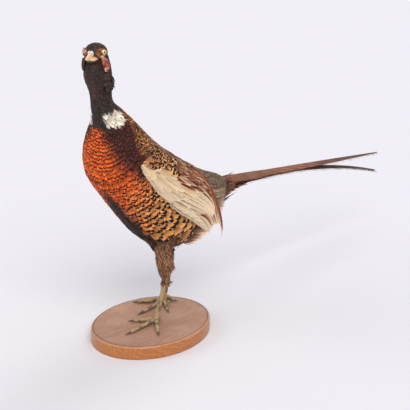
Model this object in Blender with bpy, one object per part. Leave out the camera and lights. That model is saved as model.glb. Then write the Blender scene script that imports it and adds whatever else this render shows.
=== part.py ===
"""A mounted ring-necked pheasant cock, life size, standing mid-stride on an oval wooden base.

Metres, +Z up. The bird faces -Y and its left side is +X. The origin is the centre of the base's underside.
The bird is modelled out to the tips of its plumage and parted by thin cuts into the pieces that a person
would name. Run it in Blender 4.5 with: blender --background --python part.py
"""

import math
from collections import namedtuple

import bmesh
import bpy
from mathutils import Matrix, Vector

# Driving dimensions
GAP = 0.0003  # clearance between neighbouring pieces
BASE_LONG, BASE_WIDE, BASE_HIGH = 0.2205, 0.1815, 0.0215  # the oval base
BASE_TURN = math.radians(3)  # its long axis, turned from the bird's line
BASE_EDGE = 0.0035  # rounding of the base's upper edge
FOOT_LEVEL = 0.025  # height of the base's top in the bird's own frame
BIRD_AT = Vector((-0.010, -0.003, BASE_HIGH - FOOT_LEVEL))  # that frame's origin
HEAD_TURN = math.radians(28)  # the head looks to the bird's left
HEAD_PITCH = math.radians(1)  # and hardly up
HEAD_AT = Vector((-0.0012, -0.0940, 0.4825))  # middle of the skull
EYE_AT = Vector((0.0126, 0.0035, 0.0040))  # in the head: to the side, forward and up
EYE_RADIUS = 0.0052
SHANK_RADIUS = 0.0035
TOE_RADIUS = 0.0034
PAD_RADIUS = 0.0062  # the pad the toes spread from
CLAW_LENGTH = 0.011
TAIL_ROOT = Vector((0, 0.1962, 0.2285))
TAIL_LENGTH = 0.523
QUILL_THICK = 0.0011  # thickness of a tail feather with its quill
GROUND = FOOT_LEVEL + GAP  # the toes' undersides

SIDES = {"left": 1, "right": -1}

# A section of the trunk and neck, given by its points on the back and on the belly in the bird's middle
# plane, its half width, and where it is widest: the share of the way down from back to belly.
Section = namedtuple("Section", "back_y back_z belly_y belly_z wide waist")
RUMP_TO_NECK = (
    Section(0.1950, 0.2335, 0.1905, 0.2045, 0.0175, 0.50),
    Section(0.1755, 0.2430, 0.1610, 0.1690, 0.0290, 0.50),
    Section(0.1415, 0.2560, 0.1075, 0.1485, 0.0445, 0.48),
    Section(0.1035, 0.2755, 0.0535, 0.1380, 0.0595, 0.46),
    Section(0.0635, 0.3000, -0.0030, 0.1665, 0.0690, 0.45),
    Section(0.0245, 0.3255, -0.0400, 0.2065, 0.0680, 0.45),
    Section(-0.0070, 0.3510, -0.0730, 0.2480, 0.0655, 0.47),
    Section(-0.0305, 0.3740, -0.0990, 0.2850, 0.0605, 0.50),
    Section(-0.0475, 0.3915, -0.0990, 0.3250, 0.0475, 0.50),
    Section(-0.0595, 0.4030, -0.0950, 0.3605, 0.0310, 0.50),
    Section(-0.0705, 0.4155, -0.0990, 0.3925, 0.0215, 0.50),
    Section(-0.0705, 0.4330, -0.1035, 0.4230, 0.0195, 0.50),
    Section(-0.0705, 0.4565, -0.1120, 0.4485, 0.0230, 0.50),
    Section(-0.0735, 0.4815, -0.1105, 0.4775, 0.0165, 0.50),
)
RUMP_END, TRUNK_END = 1.6, 9.4  # where the rump, trunk and neck are parted, in sections
BODY_SIDES = 24  # points round a section
SECTION_STEP = 0.065  # about how far apart the sections lie, and about how far a wing lies from their middle

# A cross-section of a folded wing: its place along the body in sections, the angles of its upper and lower
# edges from the back (degrees), how far it stands off the body, and its thickness.
Strip = namedtuple("Strip", "at upper lower lift thick")
WING = (
    Strip(6.85, 93, 99, 0.002, 0.004),
    Strip(6.62, 81, 104, 0.006, 0.008),
    Strip(6.05, 61, 108, 0.009, 0.011),
    Strip(5.20, 48, 110, 0.010, 0.012),
    Strip(4.20, 43, 105, 0.010, 0.012),
    Strip(3.50, 46, 102, 0.011, 0.012),
    Strip(3.00, 58, 101, 0.013, 0.010),
    Strip(2.72, 77, 99, 0.016, 0.006),
)
PRIMARIES = (
    Strip(4.80, 100, 110, 0.004, 0.006),
    Strip(4.20, 98, 109, 0.006, 0.007),
    Strip(3.60, 98, 108, 0.009, 0.006),
    Strip(3.00, 102, 111, 0.012, 0.004),
    Strip(2.55, 112, 116, 0.016, 0.002),
)
TERTIALS = (
    Strip(3.90, 40, 46, 0.004, 0.006),
    Strip(3.35, 42, 58, 0.007, 0.009),
    Strip(2.90, 60, 80, 0.011, 0.010),
    Strip(2.50, 80, 97, 0.015, 0.008),
    Strip(2.10, 98, 112, 0.021, 0.005),
    Strip(1.85, 113, 121, 0.028, 0.003),
    Strip(1.68, 126, 129, 0.034, 0.0018),
)

Slice = namedtuple("Slice", "along wide up down")
HEAD_SLICES = (  # along the head's own forward axis
    Slice(-0.0215, 0.0070, 0.0060, 0.0060),
    Slice(-0.0175, 0.0134, 0.0112, 0.0130),
    Slice(-0.0090, 0.0170, 0.0148, 0.0165),
    Slice(0.0010, 0.0166, 0.0152, 0.0165),
    Slice(0.0100, 0.0142, 0.0132, 0.0150),
    Slice(0.0160, 0.0110, 0.0104, 0.0125),
    Slice(0.0195, 0.0076, 0.0078, 0.0095),
)
BILL_UPPER = (  # the middle of each slice drops along the culmen's curve
    Slice(0.0110, 0.0094, 0.0066, 0.0072),
    Slice(0.0180, 0.0088, 0.0070, 0.0068),
    Slice(0.0260, 0.0074, 0.0058, 0.0056),
    Slice(0.0330, 0.0054, 0.0042, 0.0038),
    Slice(0.0380, 0.0034, 0.0026, 0.0026),
    Slice(0.0405, 0.0014, 0.0010, 0.0014),
)
BILL_LOWER = (
    Slice(0.0110, 0.0080, 0.0010, 0.0040),
    Slice(0.0220, 0.0068, 0.0010, 0.0034),
    Slice(0.0310, 0.0046, 0.0010, 0.0024),
    Slice(0.0370, 0.0020, 0.0008, 0.0012),
)
CULMEN_DROP = 3.5  # metres of drop for each square metre ahead of the bill's root
BILL_ROOT, BILL_MIDDLE = 0.0125, -0.0020
# The bare red lobe hanging below the eye: height in the head, place out from the head's axis, half breadth,
# half thickness.
Lobe = namedtuple("Lobe", "up out wide thick")
WATTLE = (
    Lobe(-0.0022, 0.0160, 0.0022, 0.0014),
    Lobe(-0.0060, 0.0178, 0.0044, 0.0028),
    Lobe(-0.0120, 0.0200, 0.0058, 0.0036),
    Lobe(-0.0175, 0.0210, 0.0050, 0.0034),
    Lobe(-0.0220, 0.0214, 0.0030, 0.0026),
    Lobe(-0.0248, 0.0214, 0.0012, 0.0012),
)
WATTLE_SET = {"left": 0.0028, "right": -0.0040}  # the turned head brings the left lobe further off the neck
WATTLE_FACING = math.radians(60)  # which way the lobe faces, round from the bill

# Where each foot's toes part from its shank, the ankle above it, the thigh's upper end, and the heading.
Leg = namedtuple("Leg", "foot ankle hip heading")
LEGS = {
    "left": Leg(
        Vector((0.0235, 0.0010, GROUND + 0.0075)),
        Vector((0.0200, 0.0300, 0.0930)),
        Vector((0.0210, 0.0180, 0.1900)),
        math.radians(-3),
    ),
    "right": Leg(
        Vector((-0.0215, 0.0700, GROUND + 0.0075)),
        Vector((-0.0205, 0.0850, 0.0930)),
        Vector((-0.0260, 0.0560, 0.1900)),
        math.radians(2),
    ),
}
THIGH_RADII = (0.0056, 0.0104, 0.0126, 0.0132, 0.0144, 0.0178, 0.0220, 0.0240)
SHANK_SWELL = (1.25, 1.00, 0.92, 0.95, 1.05, 1.15)
PAD_FLAT = 0.75  # height of a pad over its breadth
SPUR_AT = 0.43  # the spur's place, as a share of the shank's height
SPUR_REACH = (0, 0.004, 0.0085, 0.0125)
SPUR_RADII = (0.0027, 0.0021, 0.0013, 0.0003)
CLAW_RADII = (0.0019, 0.0016, 0.0010, 0.0002)
# Each toe: its angle from the foot's heading (towards the bird's outer side), its length less the claw, and
# how high it leaves the foot above the others.
Toe = namedtuple("Toe", "angle length rise")
TOES = {
    "inner": Toe(-50, 0.030, 0.0),
    "middle": Toe(0, 0.052, 0.0),
    "outer": Toe(50, 0.038, 0.0),
    "hind": Toe(-142, 0.010, 0.0065),
}

# Each pair of tail feathers: share of the full length, half breadth, place below the top pair, roof slope
# (degrees), how far a full length of it would sag, and how far its tip moves outwards.
Quill = namedtuple("Quill", "share half below slope sag spread")
TAIL = (
    Quill(0.483, 0.0085, 0.0032, 4, 0.0420, 0.003),
    Quill(0.368, 0.0082, 0.0051, 8, 0.0420, 0.003),
    Quill(0.290, 0.0078, 0.0071, 12, 0.0420, 0.003),
    Quill(0.150, 0.0072, 0.0090, 16, 0.0420, 0.002),
)
LONG_PAIR = {  # the two longest part beyond the others' tips, one held up and the other sinking
    "left": Quill(1.000, 0.0120, 0.0000, 0, 0.0013, 0.0060),
    "right": Quill(1.044, 0.0115, 0.0014, 0, 0.0400, 0.0020),
}
LONG_SHIFT = 0.0042  # how far the longest pair lie aside from each other's middle
TAIL_FALL = 0.112  # slope of the tail below level
TAIL_LEAN = 0.155  # how far the tail's stack leans forward for each metre below its top
QUILL_STUB, QUILL_FLARE, QUILL_TAPER = 0.45, 2.6, 2.4  # share of a feather's breadth at its root, its
# growth from there, and the power that draws it to its point
QUILL_TIP = 0.0009  # half breadth left at the point
SAG_POWER = 2.6  # a feather's sag grows with this power of the distance
# The coverts under the tail, from the rump back: place along, height, half breadth, half height.
Covert = namedtuple("Covert", "y z wide high")
UNDERTAIL = (
    Covert(0.1925, 0.2095, 0.0150, 0.0052),
    Covert(0.2150, 0.2085, 0.0130, 0.0050),
    Covert(0.2400, 0.2075, 0.0080, 0.0032),
    Covert(0.2580, 0.2070, 0.0016, 0.0010),
)


def principled(name, colour, roughness, metallic=0.0):
    """A plain Principled material of one finish."""
    material = bpy.data.materials.new(name)
    material.use_nodes = True
    shader = material.node_tree.nodes["Principled BSDF"]
    shader.inputs["Base Color"].default_value = (*colour, 1)
    shader.inputs["Roughness"].default_value = roughness
    shader.inputs["Metallic"].default_value = metallic
    material.diffuse_color = (*colour, 1)
    return material


def between(values, t):
    """The values at place t on a smooth curve through them (a Catmull-Rom spline)."""
    last = len(values) - 1
    i = min(int(t), last - 1)
    f = t - i
    p0, p1, p2, p3 = (values[min(max(k, 0), last)] for k in (i - 1, i, i + 1, i + 2))
    return tuple(
        0.5 * (2 * b + (c - a) * f + (2 * a - 5 * b + 4 * c - d) * f**2 + (3 * b - a - 3 * c + d) * f**3)
        for a, b, c, d in zip(p0, p1, p2, p3)
    )


def steps(start, end, count):
    """count + 1 even steps from start to end."""
    return [start + (end - start) * i / count for i in range(count + 1)]


def round_turn(count):
    """Angles once round a section."""
    return [2 * math.pi * i / count for i in range(count)]


def place(name, shape, material, smooth_under=50):
    """Makes an object of a finished bmesh, standing where the bird stands."""
    mesh = bpy.data.meshes.new(name)
    shape.to_mesh(mesh)
    shape.free()
    mesh.shade_smooth()
    mesh.set_sharp_from_angle(angle=math.radians(smooth_under))
    mesh.materials.append(material)
    piece = bpy.data.objects.new(name, mesh)
    bpy.context.scene.collection.objects.link(piece)
    return piece


def loft(name, rings, material, smooth_under=50):
    """A closed body whose skin runs through the rings, each one drawn out of the last one's face."""
    shape = bmesh.new()
    face = shape.faces.new([shape.verts.new(point) for point in rings[0]])
    first = list(face.verts)
    for ring in rings[1:]:
        face = bmesh.ops.extrude_discrete_faces(shape, faces=[face])["faces"][0]
        for vertex, point in zip(face.verts, ring):
            vertex.co = point
    shape.faces.new(first[::-1])
    bmesh.ops.recalc_face_normals(shape, faces=shape.faces)
    sides = [face for face in shape.faces if len(face.verts) == 4]
    bmesh.ops.triangulate(shape, faces=sides, quad_method="FIXED", ngon_method="EAR_CLIP")
    bmesh.ops.translate(shape, verts=shape.verts, vec=BIRD_AT)
    return place(name, shape, material, smooth_under)


def cutter(piece):
    """Hides a piece that only shapes others."""
    piece.hide_render = True
    piece.display_type = "WIRE"
    return piece


def cut(piece, *tools):
    """Takes the tools' shapes away from a piece."""
    for tool in tools:
        boolean = piece.modifiers.new(f"clear_{tool.name}", "BOOLEAN")
        boolean.operation = "DIFFERENCE"
        boolean.solver = "EXACT"
        boolean.object = tool
    return piece


def body_point(t, angle, lift=0.0):
    """A point on the body at place t, at an angle round from the back to the bird's left, lifted off it."""
    back_y, back_z, belly_y, belly_z, wide, waist = between(RUMP_TO_NECK, t)
    back, belly = Vector((0, back_y, back_z)), Vector((0, belly_y, belly_z))
    middle = back.lerp(belly, waist)
    rise = math.cos(angle)
    reach = ((back if rise > 0 else belly) - middle).length + lift
    side = Vector(((wide + lift) * math.sin(angle), 0, 0))
    return middle + side + (back - belly).normalized() * reach * rise


def body_piece(name, places, material, grow=0.0):
    """A length of the body through these places on its line of sections."""
    angles = round_turn(BODY_SIDES)
    rings = [[body_point(t, angle, grow) for angle in angles] for t in places]
    return loft(name, rings, material)


def head_point(forward, left, up):
    """A point given in the head's own frame."""
    turn = Matrix.Rotation(HEAD_TURN, 3, "Z") @ Matrix.Rotation(-HEAD_PITCH, 3, "X")
    return HEAD_AT + turn @ Vector((left, -forward, up))


def head_loft(name, slices, material, count, around, grow=0.0, drop=lambda along: 0.0, power=1.0):
    """A body of slices along the head's forward axis."""
    rings = []
    for t in steps(0, len(slices) - 1, count):
        along, wide, up, down = between(slices, t)
        along += grow * (2 * t / (len(slices) - 1) - 1)
        ring = []
        for angle in round_turn(around):
            rise, side = math.cos(angle), math.sin(angle)
            reach = (up if rise > 0 else down) + grow
            side = math.copysign(abs(side) ** power, side)
            ring.append(head_point(along, (wide + grow) * side, reach * rise + drop(along)))
        rings.append(ring)
    return loft(name, rings, material)


def tube(name, path, radii, material, around=8, flat=1.0):
    """A tapering round length along a path of points, flattened across its height where flat is under 1."""
    rings = []
    for i, point in enumerate(path):
        forward = (path[min(i + 1, len(path) - 1)] - path[max(i - 1, 0)]).normalized()
        across = forward.cross(Vector((0, 0, 1)))
        across = across.normalized() if across.length > 0.2 else Vector((1, 0, 0))
        above = across.cross(forward).normalized()
        turn = round_turn(around)
        ring = [point + radii[i] * (across * math.sin(a) + above * math.cos(a) * flat) for a in turn]
        rings.append(ring)
    return loft(name, rings, material)


def make_base(wood):
    """The oval base: a disc drawn out into an oval, its upper edge rounded."""
    shape = bmesh.new()
    bmesh.ops.create_circle(shape, cap_ends=True, segments=48, radius=0.5)
    top = bmesh.ops.extrude_face_region(shape, geom=shape.faces[:])["geom"]
    top = [item for item in top if isinstance(item, bmesh.types.BMVert)]
    bmesh.ops.translate(shape, verts=top, vec=(0, 0, BASE_HIGH))
    bmesh.ops.scale(shape, vec=(BASE_WIDE, BASE_LONG, 1), verts=shape.verts)
    bmesh.ops.rotate(shape, matrix=Matrix.Rotation(BASE_TURN, 3, "Z"), verts=shape.verts)
    rim = [edge for edge in shape.edges if min(v.co.z for v in edge.verts) > BASE_HIGH / 2]
    bmesh.ops.bevel(shape, geom=rim, offset=BASE_EDGE, segments=3, profile=0.5, affect="EDGES", material=-1)
    bmesh.ops.recalc_face_normals(shape, faces=shape.faces)
    place("base", shape, wood, 40)


def make_body(plumage):
    """Rump, trunk and neck, and the shape that clears their neighbours."""
    sliver = GAP / SECTION_STEP  # the gap between two lengths, in sections
    last = len(RUMP_TO_NECK) - 1
    head = cutter(head_loft("head_clearance", HEAD_SLICES, plumage, 11, 18, grow=GAP))
    rump = steps(0, RUMP_END - sliver, 6)
    trunk = steps(RUMP_END + sliver, TRUNK_END - sliver, 16)
    neck = steps(TRUNK_END + sliver, last, 9)
    body_piece("rump", rump, plumage)
    body_piece("trunk", trunk, plumage)
    cut(body_piece("neck", neck, plumage), head)
    return head, cutter(body_piece("body_clearance", rump + trunk + neck, plumage, grow=GAP))


def make_ball(name, radius, centre, material, flat=1.0, around=12):
    """A ball of the bird's, such as an eye."""
    shape = bmesh.new()
    bmesh.ops.create_uvsphere(shape, u_segments=around, v_segments=around * 2 // 3, radius=radius)
    bmesh.ops.scale(shape, vec=(1, 1, flat), verts=shape.verts)
    bmesh.ops.translate(shape, verts=shape.verts, vec=centre + BIRD_AT)
    return place(name, shape, material)


def wattle_ring(lobe, side, around):
    """One level of the red lobe, lying against the cheek."""
    up, out, wide, thick = lobe
    out += WATTLE_SET[side] * min(1.0, -up / 0.012)
    facing = Vector((math.sin(WATTLE_FACING), math.cos(WATTLE_FACING)))
    along = Vector((-facing.y, facing.x))
    ring = []
    for angle in round_turn(around):
        at = facing * (out + thick * math.cos(angle)) + along * wide * math.sin(angle)
        ring.append(head_point(at.y, SIDES[side] * at.x, up))
    return ring


def make_head(plumage, horn, red_skin, glass, clear_head, clear_body):
    """Skull with its plumage, bill, eyes and the red lobes of the face."""
    head = head_loft("head", HEAD_SLICES, plumage, 11, 18)
    for side, sign in SIDES.items():
        eye_at = head_point(EYE_AT.y, sign * EYE_AT.x, EYE_AT.z)
        make_ball(f"eye_{side}", EYE_RADIUS, eye_at, glass)
        socket = cutter(make_ball(f"socket_{side}", EYE_RADIUS + GAP, eye_at, glass))
        cut(head, socket)
        rings = [wattle_ring(between(WATTLE, t), side, 12) for t in steps(0, len(WATTLE) - 1, 8)]
        cut(loft(f"wattle_{side}", rings, red_skin), clear_head, clear_body, socket)

    def droop(along):
        return BILL_MIDDLE - CULMEN_DROP * max(along - BILL_ROOT, 0) ** 2

    def droop_lower(along):
        return BILL_MIDDLE - 0.0084 + 0.10 * (along - BILL_ROOT)

    cut(head_loft("bill_upper", BILL_UPPER, horn, 9, 12, drop=droop, power=0.8), clear_head, clear_body)
    upper = cutter(head_loft("bill_clearance", BILL_UPPER, horn, 9, 12, grow=GAP, drop=droop, power=0.8))
    cut(head_loft("bill_lower", BILL_LOWER, horn, 7, 10, drop=droop_lower), clear_head, clear_body, upper)


def strip_piece(name, sign, table, count, across, material, grow=0.0):
    """A part of a folded wing: a blade lying on the body, hugging it ahead and standing off it behind."""
    places = steps(0, len(table) - 1, count)
    if grow:
        places = [places[0]] + places + [places[-1]]
    rings = []
    for i, t in enumerate(places):
        at, upper, lower, lift, thick = between(table, t)
        if grow and i in (0, len(places) - 1):
            at += grow / SECTION_STEP * (1 if i == 0 else -1)
        edge = grow / SECTION_STEP
        upper, lower = math.radians(upper) - edge, math.radians(lower) + edge
        shares = steps(0, 1, across)
        arch = [thick * (0.35 + 0.65 * math.sin(math.pi * share) ** 0.5) for share in shares]
        ring = [(share, lift - thick + rise + grow) for share, rise in zip(shares, arch)]
        if grow:
            ring.append((1, lift - thick + arch[-1] - grow))
        for share in shares[-2:0:-1]:
            ring.append((share, lift - thick - grow))
        if grow:
            ring.append((0, lift - thick + arch[0] - grow))
        rings.append([body_point(at, sign * (upper + (lower - upper) * s), h) for s, h in ring])
    return loft(name, rings, material)


def make_wings(plumage, clear_body):
    """Each folded wing: the arm with its coverts, and the flight feathers below and above it."""
    for side, sign in SIDES.items():
        cut(strip_piece(f"wing_{side}", sign, WING, 14, 6, plumage), clear_body)
        clear_wing = cutter(strip_piece(f"wing_clearance_{side}", sign, WING, 14, 6, plumage, grow=GAP))
        cut(strip_piece(f"primaries_{side}", sign, PRIMARIES, 8, 4, plumage), clear_body, clear_wing)
        cut(strip_piece(f"tertials_{side}", sign, TERTIALS, 10, 4, plumage), clear_body, clear_wing)


def make_quill(name, sign, quill, material):
    """One tail feather: a thin blade, broadest in its first third and drawn to a point."""
    slope = math.radians(quill.slope)
    rings = []
    for t in steps(0, 1, 10 if quill.share > 0.4 else 6):
        length = TAIL_LENGTH * quill.share
        sag = quill.sag * (quill.share * t) ** SAG_POWER
        half = quill.half * min(1.0, QUILL_STUB + QUILL_FLARE * t) * (1 - t**QUILL_TAPER) + QUILL_TIP
        thick = QUILL_THICK / 2 * (1 - 0.55 * t)
        centre = TAIL_ROOT + Vector((0, length * t, -TAIL_FALL * length * t - sag))
        aside = LONG_SHIFT if quill.slope == 0 else GAP + quill.half * math.cos(slope)
        centre.x += sign * (aside + quill.spread * t * t)
        centre.z -= quill.below
        centre.y -= TAIL_LEAN * quill.below
        ring = []
        for angle in round_turn(6):
            out, up = half * math.sin(angle), thick * math.cos(angle)
            ring.append(centre + Vector((sign * out * math.cos(slope), 0, up - out * math.sin(slope))))
        rings.append(ring)
    loft(name, rings, material)


def make_tail(plumage, clear_body):
    """The folded tail: pairs of feathers roofed over each other, longest on top, and the coverts below."""
    for side, sign in SIDES.items():
        make_quill(f"tail_1_{side}", sign, LONG_PAIR[side], plumage)
        for number, quill in enumerate(TAIL, 2):
            make_quill(f"tail_{number}_{side}", sign, quill, plumage)
    rings = []
    for t in steps(0, len(UNDERTAIL) - 1, 6):
        y, z, wide, high = between(UNDERTAIL, t)
        ring = []
        for angle in round_turn(10):
            up = high * math.cos(angle)
            ring.append(Vector((wide * math.sin(angle), y + TAIL_LEAN * up, z + up)))
        rings.append(ring)
    cut(loft("undertail", rings, plumage), clear_body)


def make_legs(plumage, scaly, claw_horn, clear_body):
    """Feathered thighs, scaly shanks with their spurs, and four clawed toes on each foot."""
    for side, sign in SIDES.items():
        leg = LEGS[side]
        thigh_path = [leg.ankle.lerp(leg.hip, t) for t in steps(0, 1, 7)]
        cut(tube(f"thigh_{side}", thigh_path, THIGH_RADII, plumage, around=12), clear_body)
        below = leg.ankle - (leg.hip - leg.ankle).normalized() * GAP
        radii = [radius + GAP for radius in THIGH_RADII]
        thigh = cutter(tube(f"thigh_clearance_{side}", [below] + thigh_path[1:], radii, plumage, around=12))
        pad_at = Vector((leg.foot.x, leg.foot.y, GROUND + PAD_FLAT * PAD_RADIUS))
        make_ball(f"pad_{side}", PAD_RADIUS, pad_at, scaly, flat=PAD_FLAT, around=9)
        clear = PAD_RADIUS + GAP / PAD_FLAT
        pad = cutter(make_ball(f"pad_clearance_{side}", clear, pad_at, scaly, flat=PAD_FLAT, around=9))
        path = [leg.foot.lerp(leg.ankle, t) for t in steps(0, 1, 5)]
        radii = [SHANK_RADIUS * swell for swell in SHANK_SWELL]
        cut(tube(f"shank_{side}", path, radii, scaly, around=8), pad, thigh)
        radii = [radius + GAP for radius in radii]
        shank = cutter(tube(f"shank_clearance_{side}", path, radii, scaly, around=8))
        behind = Vector((sign * -0.25, 1, 0.10)).normalized()
        root = leg.foot.lerp(leg.ankle, SPUR_AT)
        spur = [root + behind * (SHANK_RADIUS * 0.5 + reach) for reach in SPUR_REACH]
        cut(tube(f"spur_{side}", spur, SPUR_RADII, claw_horn, around=6), shank)
        for name, toe in TOES.items():
            make_toe(f"{name}_{side}", leg, sign, toe, scaly, claw_horn, pad, shank)


def make_toe(name, leg, sign, toe, scaly, claw_horn, pad, shank):
    """One toe, arched a little at its joints, and its claw."""
    heading = leg.heading + sign * math.radians(toe.angle)
    forward = Vector((math.sin(heading), -math.cos(heading), 0))
    start = leg.foot + forward * PAD_RADIUS * 0.75
    path, radii = [], []
    for t in steps(0, 1, 5):
        radius = TOE_RADIUS * (1 - 0.36 * t) * (1 - 0.10 * math.cos(5 * math.pi * t))
        radius *= min(1.0, 0.62 + 2.2 * t)
        point = start + forward * (toe.length + 0.002) * t
        rise = 0.0030 * (1 - t) ** 2 + toe.rise * (1 - t)
        point.z = GROUND + radius + rise
        path.append(point)
        radii.append(radius)
    cut(tube(f"toe_{name}", path, radii, scaly, around=7), pad, shank)
    last = path[-1] - path[-2]
    root = path[-1] + forward * (GAP + radii[-1] * abs(last.z) / last.length)
    reach = min(CLAW_LENGTH, 0.6 * toe.length)
    claw = [root + forward * reach * t for t in steps(0, 1, 3)]
    for point, radius in zip(claw, CLAW_RADII):
        point.z = max(point.z - 0.001 * (point - root).length / CLAW_LENGTH, GROUND + radius)
    tube(f"claw_{name}", claw, CLAW_RADII, claw_horn, around=6)


def main():
    for old in list(bpy.data.objects):
        bpy.data.objects.remove(old)
    wood = principled("varnished_wood", (0.36, 0.17, 0.08), 0.35)
    plumage = principled("plumage", (0.42, 0.16, 0.06), 0.7)
    horn = principled("bill_horn", (0.72, 0.60, 0.36), 0.4)
    red_skin = principled("wattle_skin", (0.60, 0.10, 0.07), 0.6)
    glass = principled("eye_glass", (0.65, 0.55, 0.25), 0.05)
    scaly = principled("leg_scales", (0.42, 0.33, 0.16), 0.5)
    claw_horn = principled("claw_horn", (0.20, 0.14, 0.08), 0.4)
    make_base(wood)
    clear_head, clear_body = make_body(plumage)
    make_head(plumage, horn, red_skin, glass, clear_head, clear_body)
    make_wings(plumage, clear_body)
    make_tail(plumage, clear_body)
    make_legs(plumage, scaly, claw_horn, clear_body)


main()
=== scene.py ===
"""Looks for a mounted ring-necked pheasant cock on an oval wooden base.

One skin replaces the solids of flesh. Feathers of solid mesh lie over it in tracts, each on its own place of
the body, and the wings and tail carry long vanes. The file is laid out as a Blender add-on and run as a
script.
"""

import itertools
import math
from collections import namedtuple
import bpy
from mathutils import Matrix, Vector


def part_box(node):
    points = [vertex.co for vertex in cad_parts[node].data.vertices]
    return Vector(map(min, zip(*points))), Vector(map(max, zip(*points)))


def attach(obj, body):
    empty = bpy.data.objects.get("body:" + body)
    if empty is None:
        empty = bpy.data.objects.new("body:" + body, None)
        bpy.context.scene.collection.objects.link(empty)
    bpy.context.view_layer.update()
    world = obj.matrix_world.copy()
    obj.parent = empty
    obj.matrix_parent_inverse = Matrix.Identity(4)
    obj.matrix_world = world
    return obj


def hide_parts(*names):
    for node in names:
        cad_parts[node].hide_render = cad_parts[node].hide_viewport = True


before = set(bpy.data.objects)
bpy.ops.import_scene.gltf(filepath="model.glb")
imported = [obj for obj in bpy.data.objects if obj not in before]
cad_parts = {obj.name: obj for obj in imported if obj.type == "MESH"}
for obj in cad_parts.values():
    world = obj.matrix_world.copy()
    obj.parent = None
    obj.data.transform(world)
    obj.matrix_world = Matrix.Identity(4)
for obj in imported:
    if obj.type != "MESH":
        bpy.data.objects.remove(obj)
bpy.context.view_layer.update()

from types import SimpleNamespace

import bmesh
import bpy
import numpy as np
from mathutils import Matrix, Vector, noise
from mathutils.bvhtree import BVHTree

bl_info = {
    "name": "Mounted pheasant",
    "version": (1, 0, 0),
    "blender": (4, 5, 0),
    "location": "View3D > Sidebar > Pheasant",
    "description": "Makes the skin, feathers and base of a mounted ring-necked pheasant cock",
    "category": "Object",
}

SIDES = {"left": 1, "right": -1}


def rows_of(kind, *rows):
    """A table with each row as a named tuple of its kind."""
    return tuple(kind(*row) for row in rows)


# The body's form at stations from the rump to the head, in the bird's own frame, which stands at BIRD_AT: the
# middle of the back and of the belly, half the breadth, and how far down from the back the body is widest.
BIRD_AT = Vector((-0.010, -0.003, -0.0035))
Station = namedtuple("Station", "back_y back_z belly_y belly_z wide waist")
STATIONS = rows_of(
    Station,
    (0.1950, 0.2335, 0.1905, 0.2045, 0.0175, 0.50),
    (0.1755, 0.2430, 0.1610, 0.1690, 0.0290, 0.50),
    (0.1415, 0.2560, 0.1075, 0.1485, 0.0445, 0.48),
    (0.1035, 0.2755, 0.0535, 0.1380, 0.0595, 0.46),
    (0.0635, 0.3000, -0.0030, 0.1665, 0.0690, 0.45),
    (0.0245, 0.3255, -0.0400, 0.2065, 0.0680, 0.45),
    (-0.0070, 0.3510, -0.0730, 0.2480, 0.0655, 0.47),
    (-0.0305, 0.3740, -0.0990, 0.2850, 0.0605, 0.50),
    (-0.0475, 0.3915, -0.0990, 0.3250, 0.0475, 0.50),
    (-0.0595, 0.4030, -0.0950, 0.3605, 0.0310, 0.50),
    (-0.0705, 0.4155, -0.0990, 0.3925, 0.0215, 0.50),
    (-0.0705, 0.4330, -0.1035, 0.4230, 0.0195, 0.50),
    (-0.0705, 0.4565, -0.1120, 0.4485, 0.0230, 0.50),
    (-0.0735, 0.4815, -0.1105, 0.4775, 0.0165, 0.50),
)
# Parts of the folded wing lie on the body as blades. At each place along the body: the angles of the blade's
# edges down from the back, how far its outer face lifts, and its thickness.
Blade = namedtuple("Blade", "at upper lower lift thick")
WING = rows_of(
    Blade,
    (6.85, 93, 99, 0.002, 0.004),
    (6.62, 81, 104, 0.006, 0.008),
    (6.05, 61, 108, 0.009, 0.011),
    (5.20, 48, 110, 0.010, 0.012),
    (4.20, 43, 105, 0.010, 0.012),
    (3.50, 46, 102, 0.011, 0.012),
    (3.00, 58, 101, 0.013, 0.010),
    (2.72, 77, 99, 0.016, 0.006),
)
PRIMARIES = rows_of(
    Blade,
    (4.80, 100, 110, 0.004, 0.006),
    (4.20, 98, 109, 0.006, 0.007),
    (3.60, 98, 108, 0.009, 0.006),
    (3.00, 102, 111, 0.012, 0.004),
    (2.55, 112, 116, 0.016, 0.002),
)
TERTIALS = rows_of(
    Blade,
    (3.90, 40, 46, 0.004, 0.006),
    (3.35, 42, 58, 0.007, 0.009),
    (2.90, 60, 80, 0.011, 0.010),
    (2.50, 80, 97, 0.015, 0.008),
    (2.10, 98, 112, 0.021, 0.005),
    (1.85, 113, 121, 0.028, 0.003),
    (1.68, 126, 129, 0.034, 0.0018),
)
INNER = rows_of(
    Blade,
    (4.20, 50, 105, 0.011, 0.012),
    (3.50, 52, 104, 0.012, 0.011),
    (3.00, 62, 106, 0.0135, 0.009),
    (2.60, 80, 112, 0.016, 0.005),
    (2.30, 95, 116, 0.019, 0.003),
    (2.05, 108, 119, 0.023, 0.002),
)
HEAD_AT = Vector((-0.0012, -0.0940, 0.4825)) + BIRD_AT
HEAD_TURN = Matrix.Rotation(math.radians(28), 3, "Z") @ Matrix.Rotation(math.radians(-1), 3, "X")
FEET = ("shank", "pad", "toe_inner", "toe_middle", "toe_outer", "toe_hind")


# ---------------------------------------------------------------- settings


def colour_setting(name, colour, description):
    """A colour that a user may change."""
    return bpy.props.FloatVectorProperty(
        name=name, description=description, default=colour, size=3, min=0, max=1, subtype="COLOR"
    )


def length_setting(name, metres, description):
    """A length that a user may change."""
    return bpy.props.FloatProperty(
        name=name, description=description, default=metres, min=0, unit="LENGTH", precision=4
    )


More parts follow.
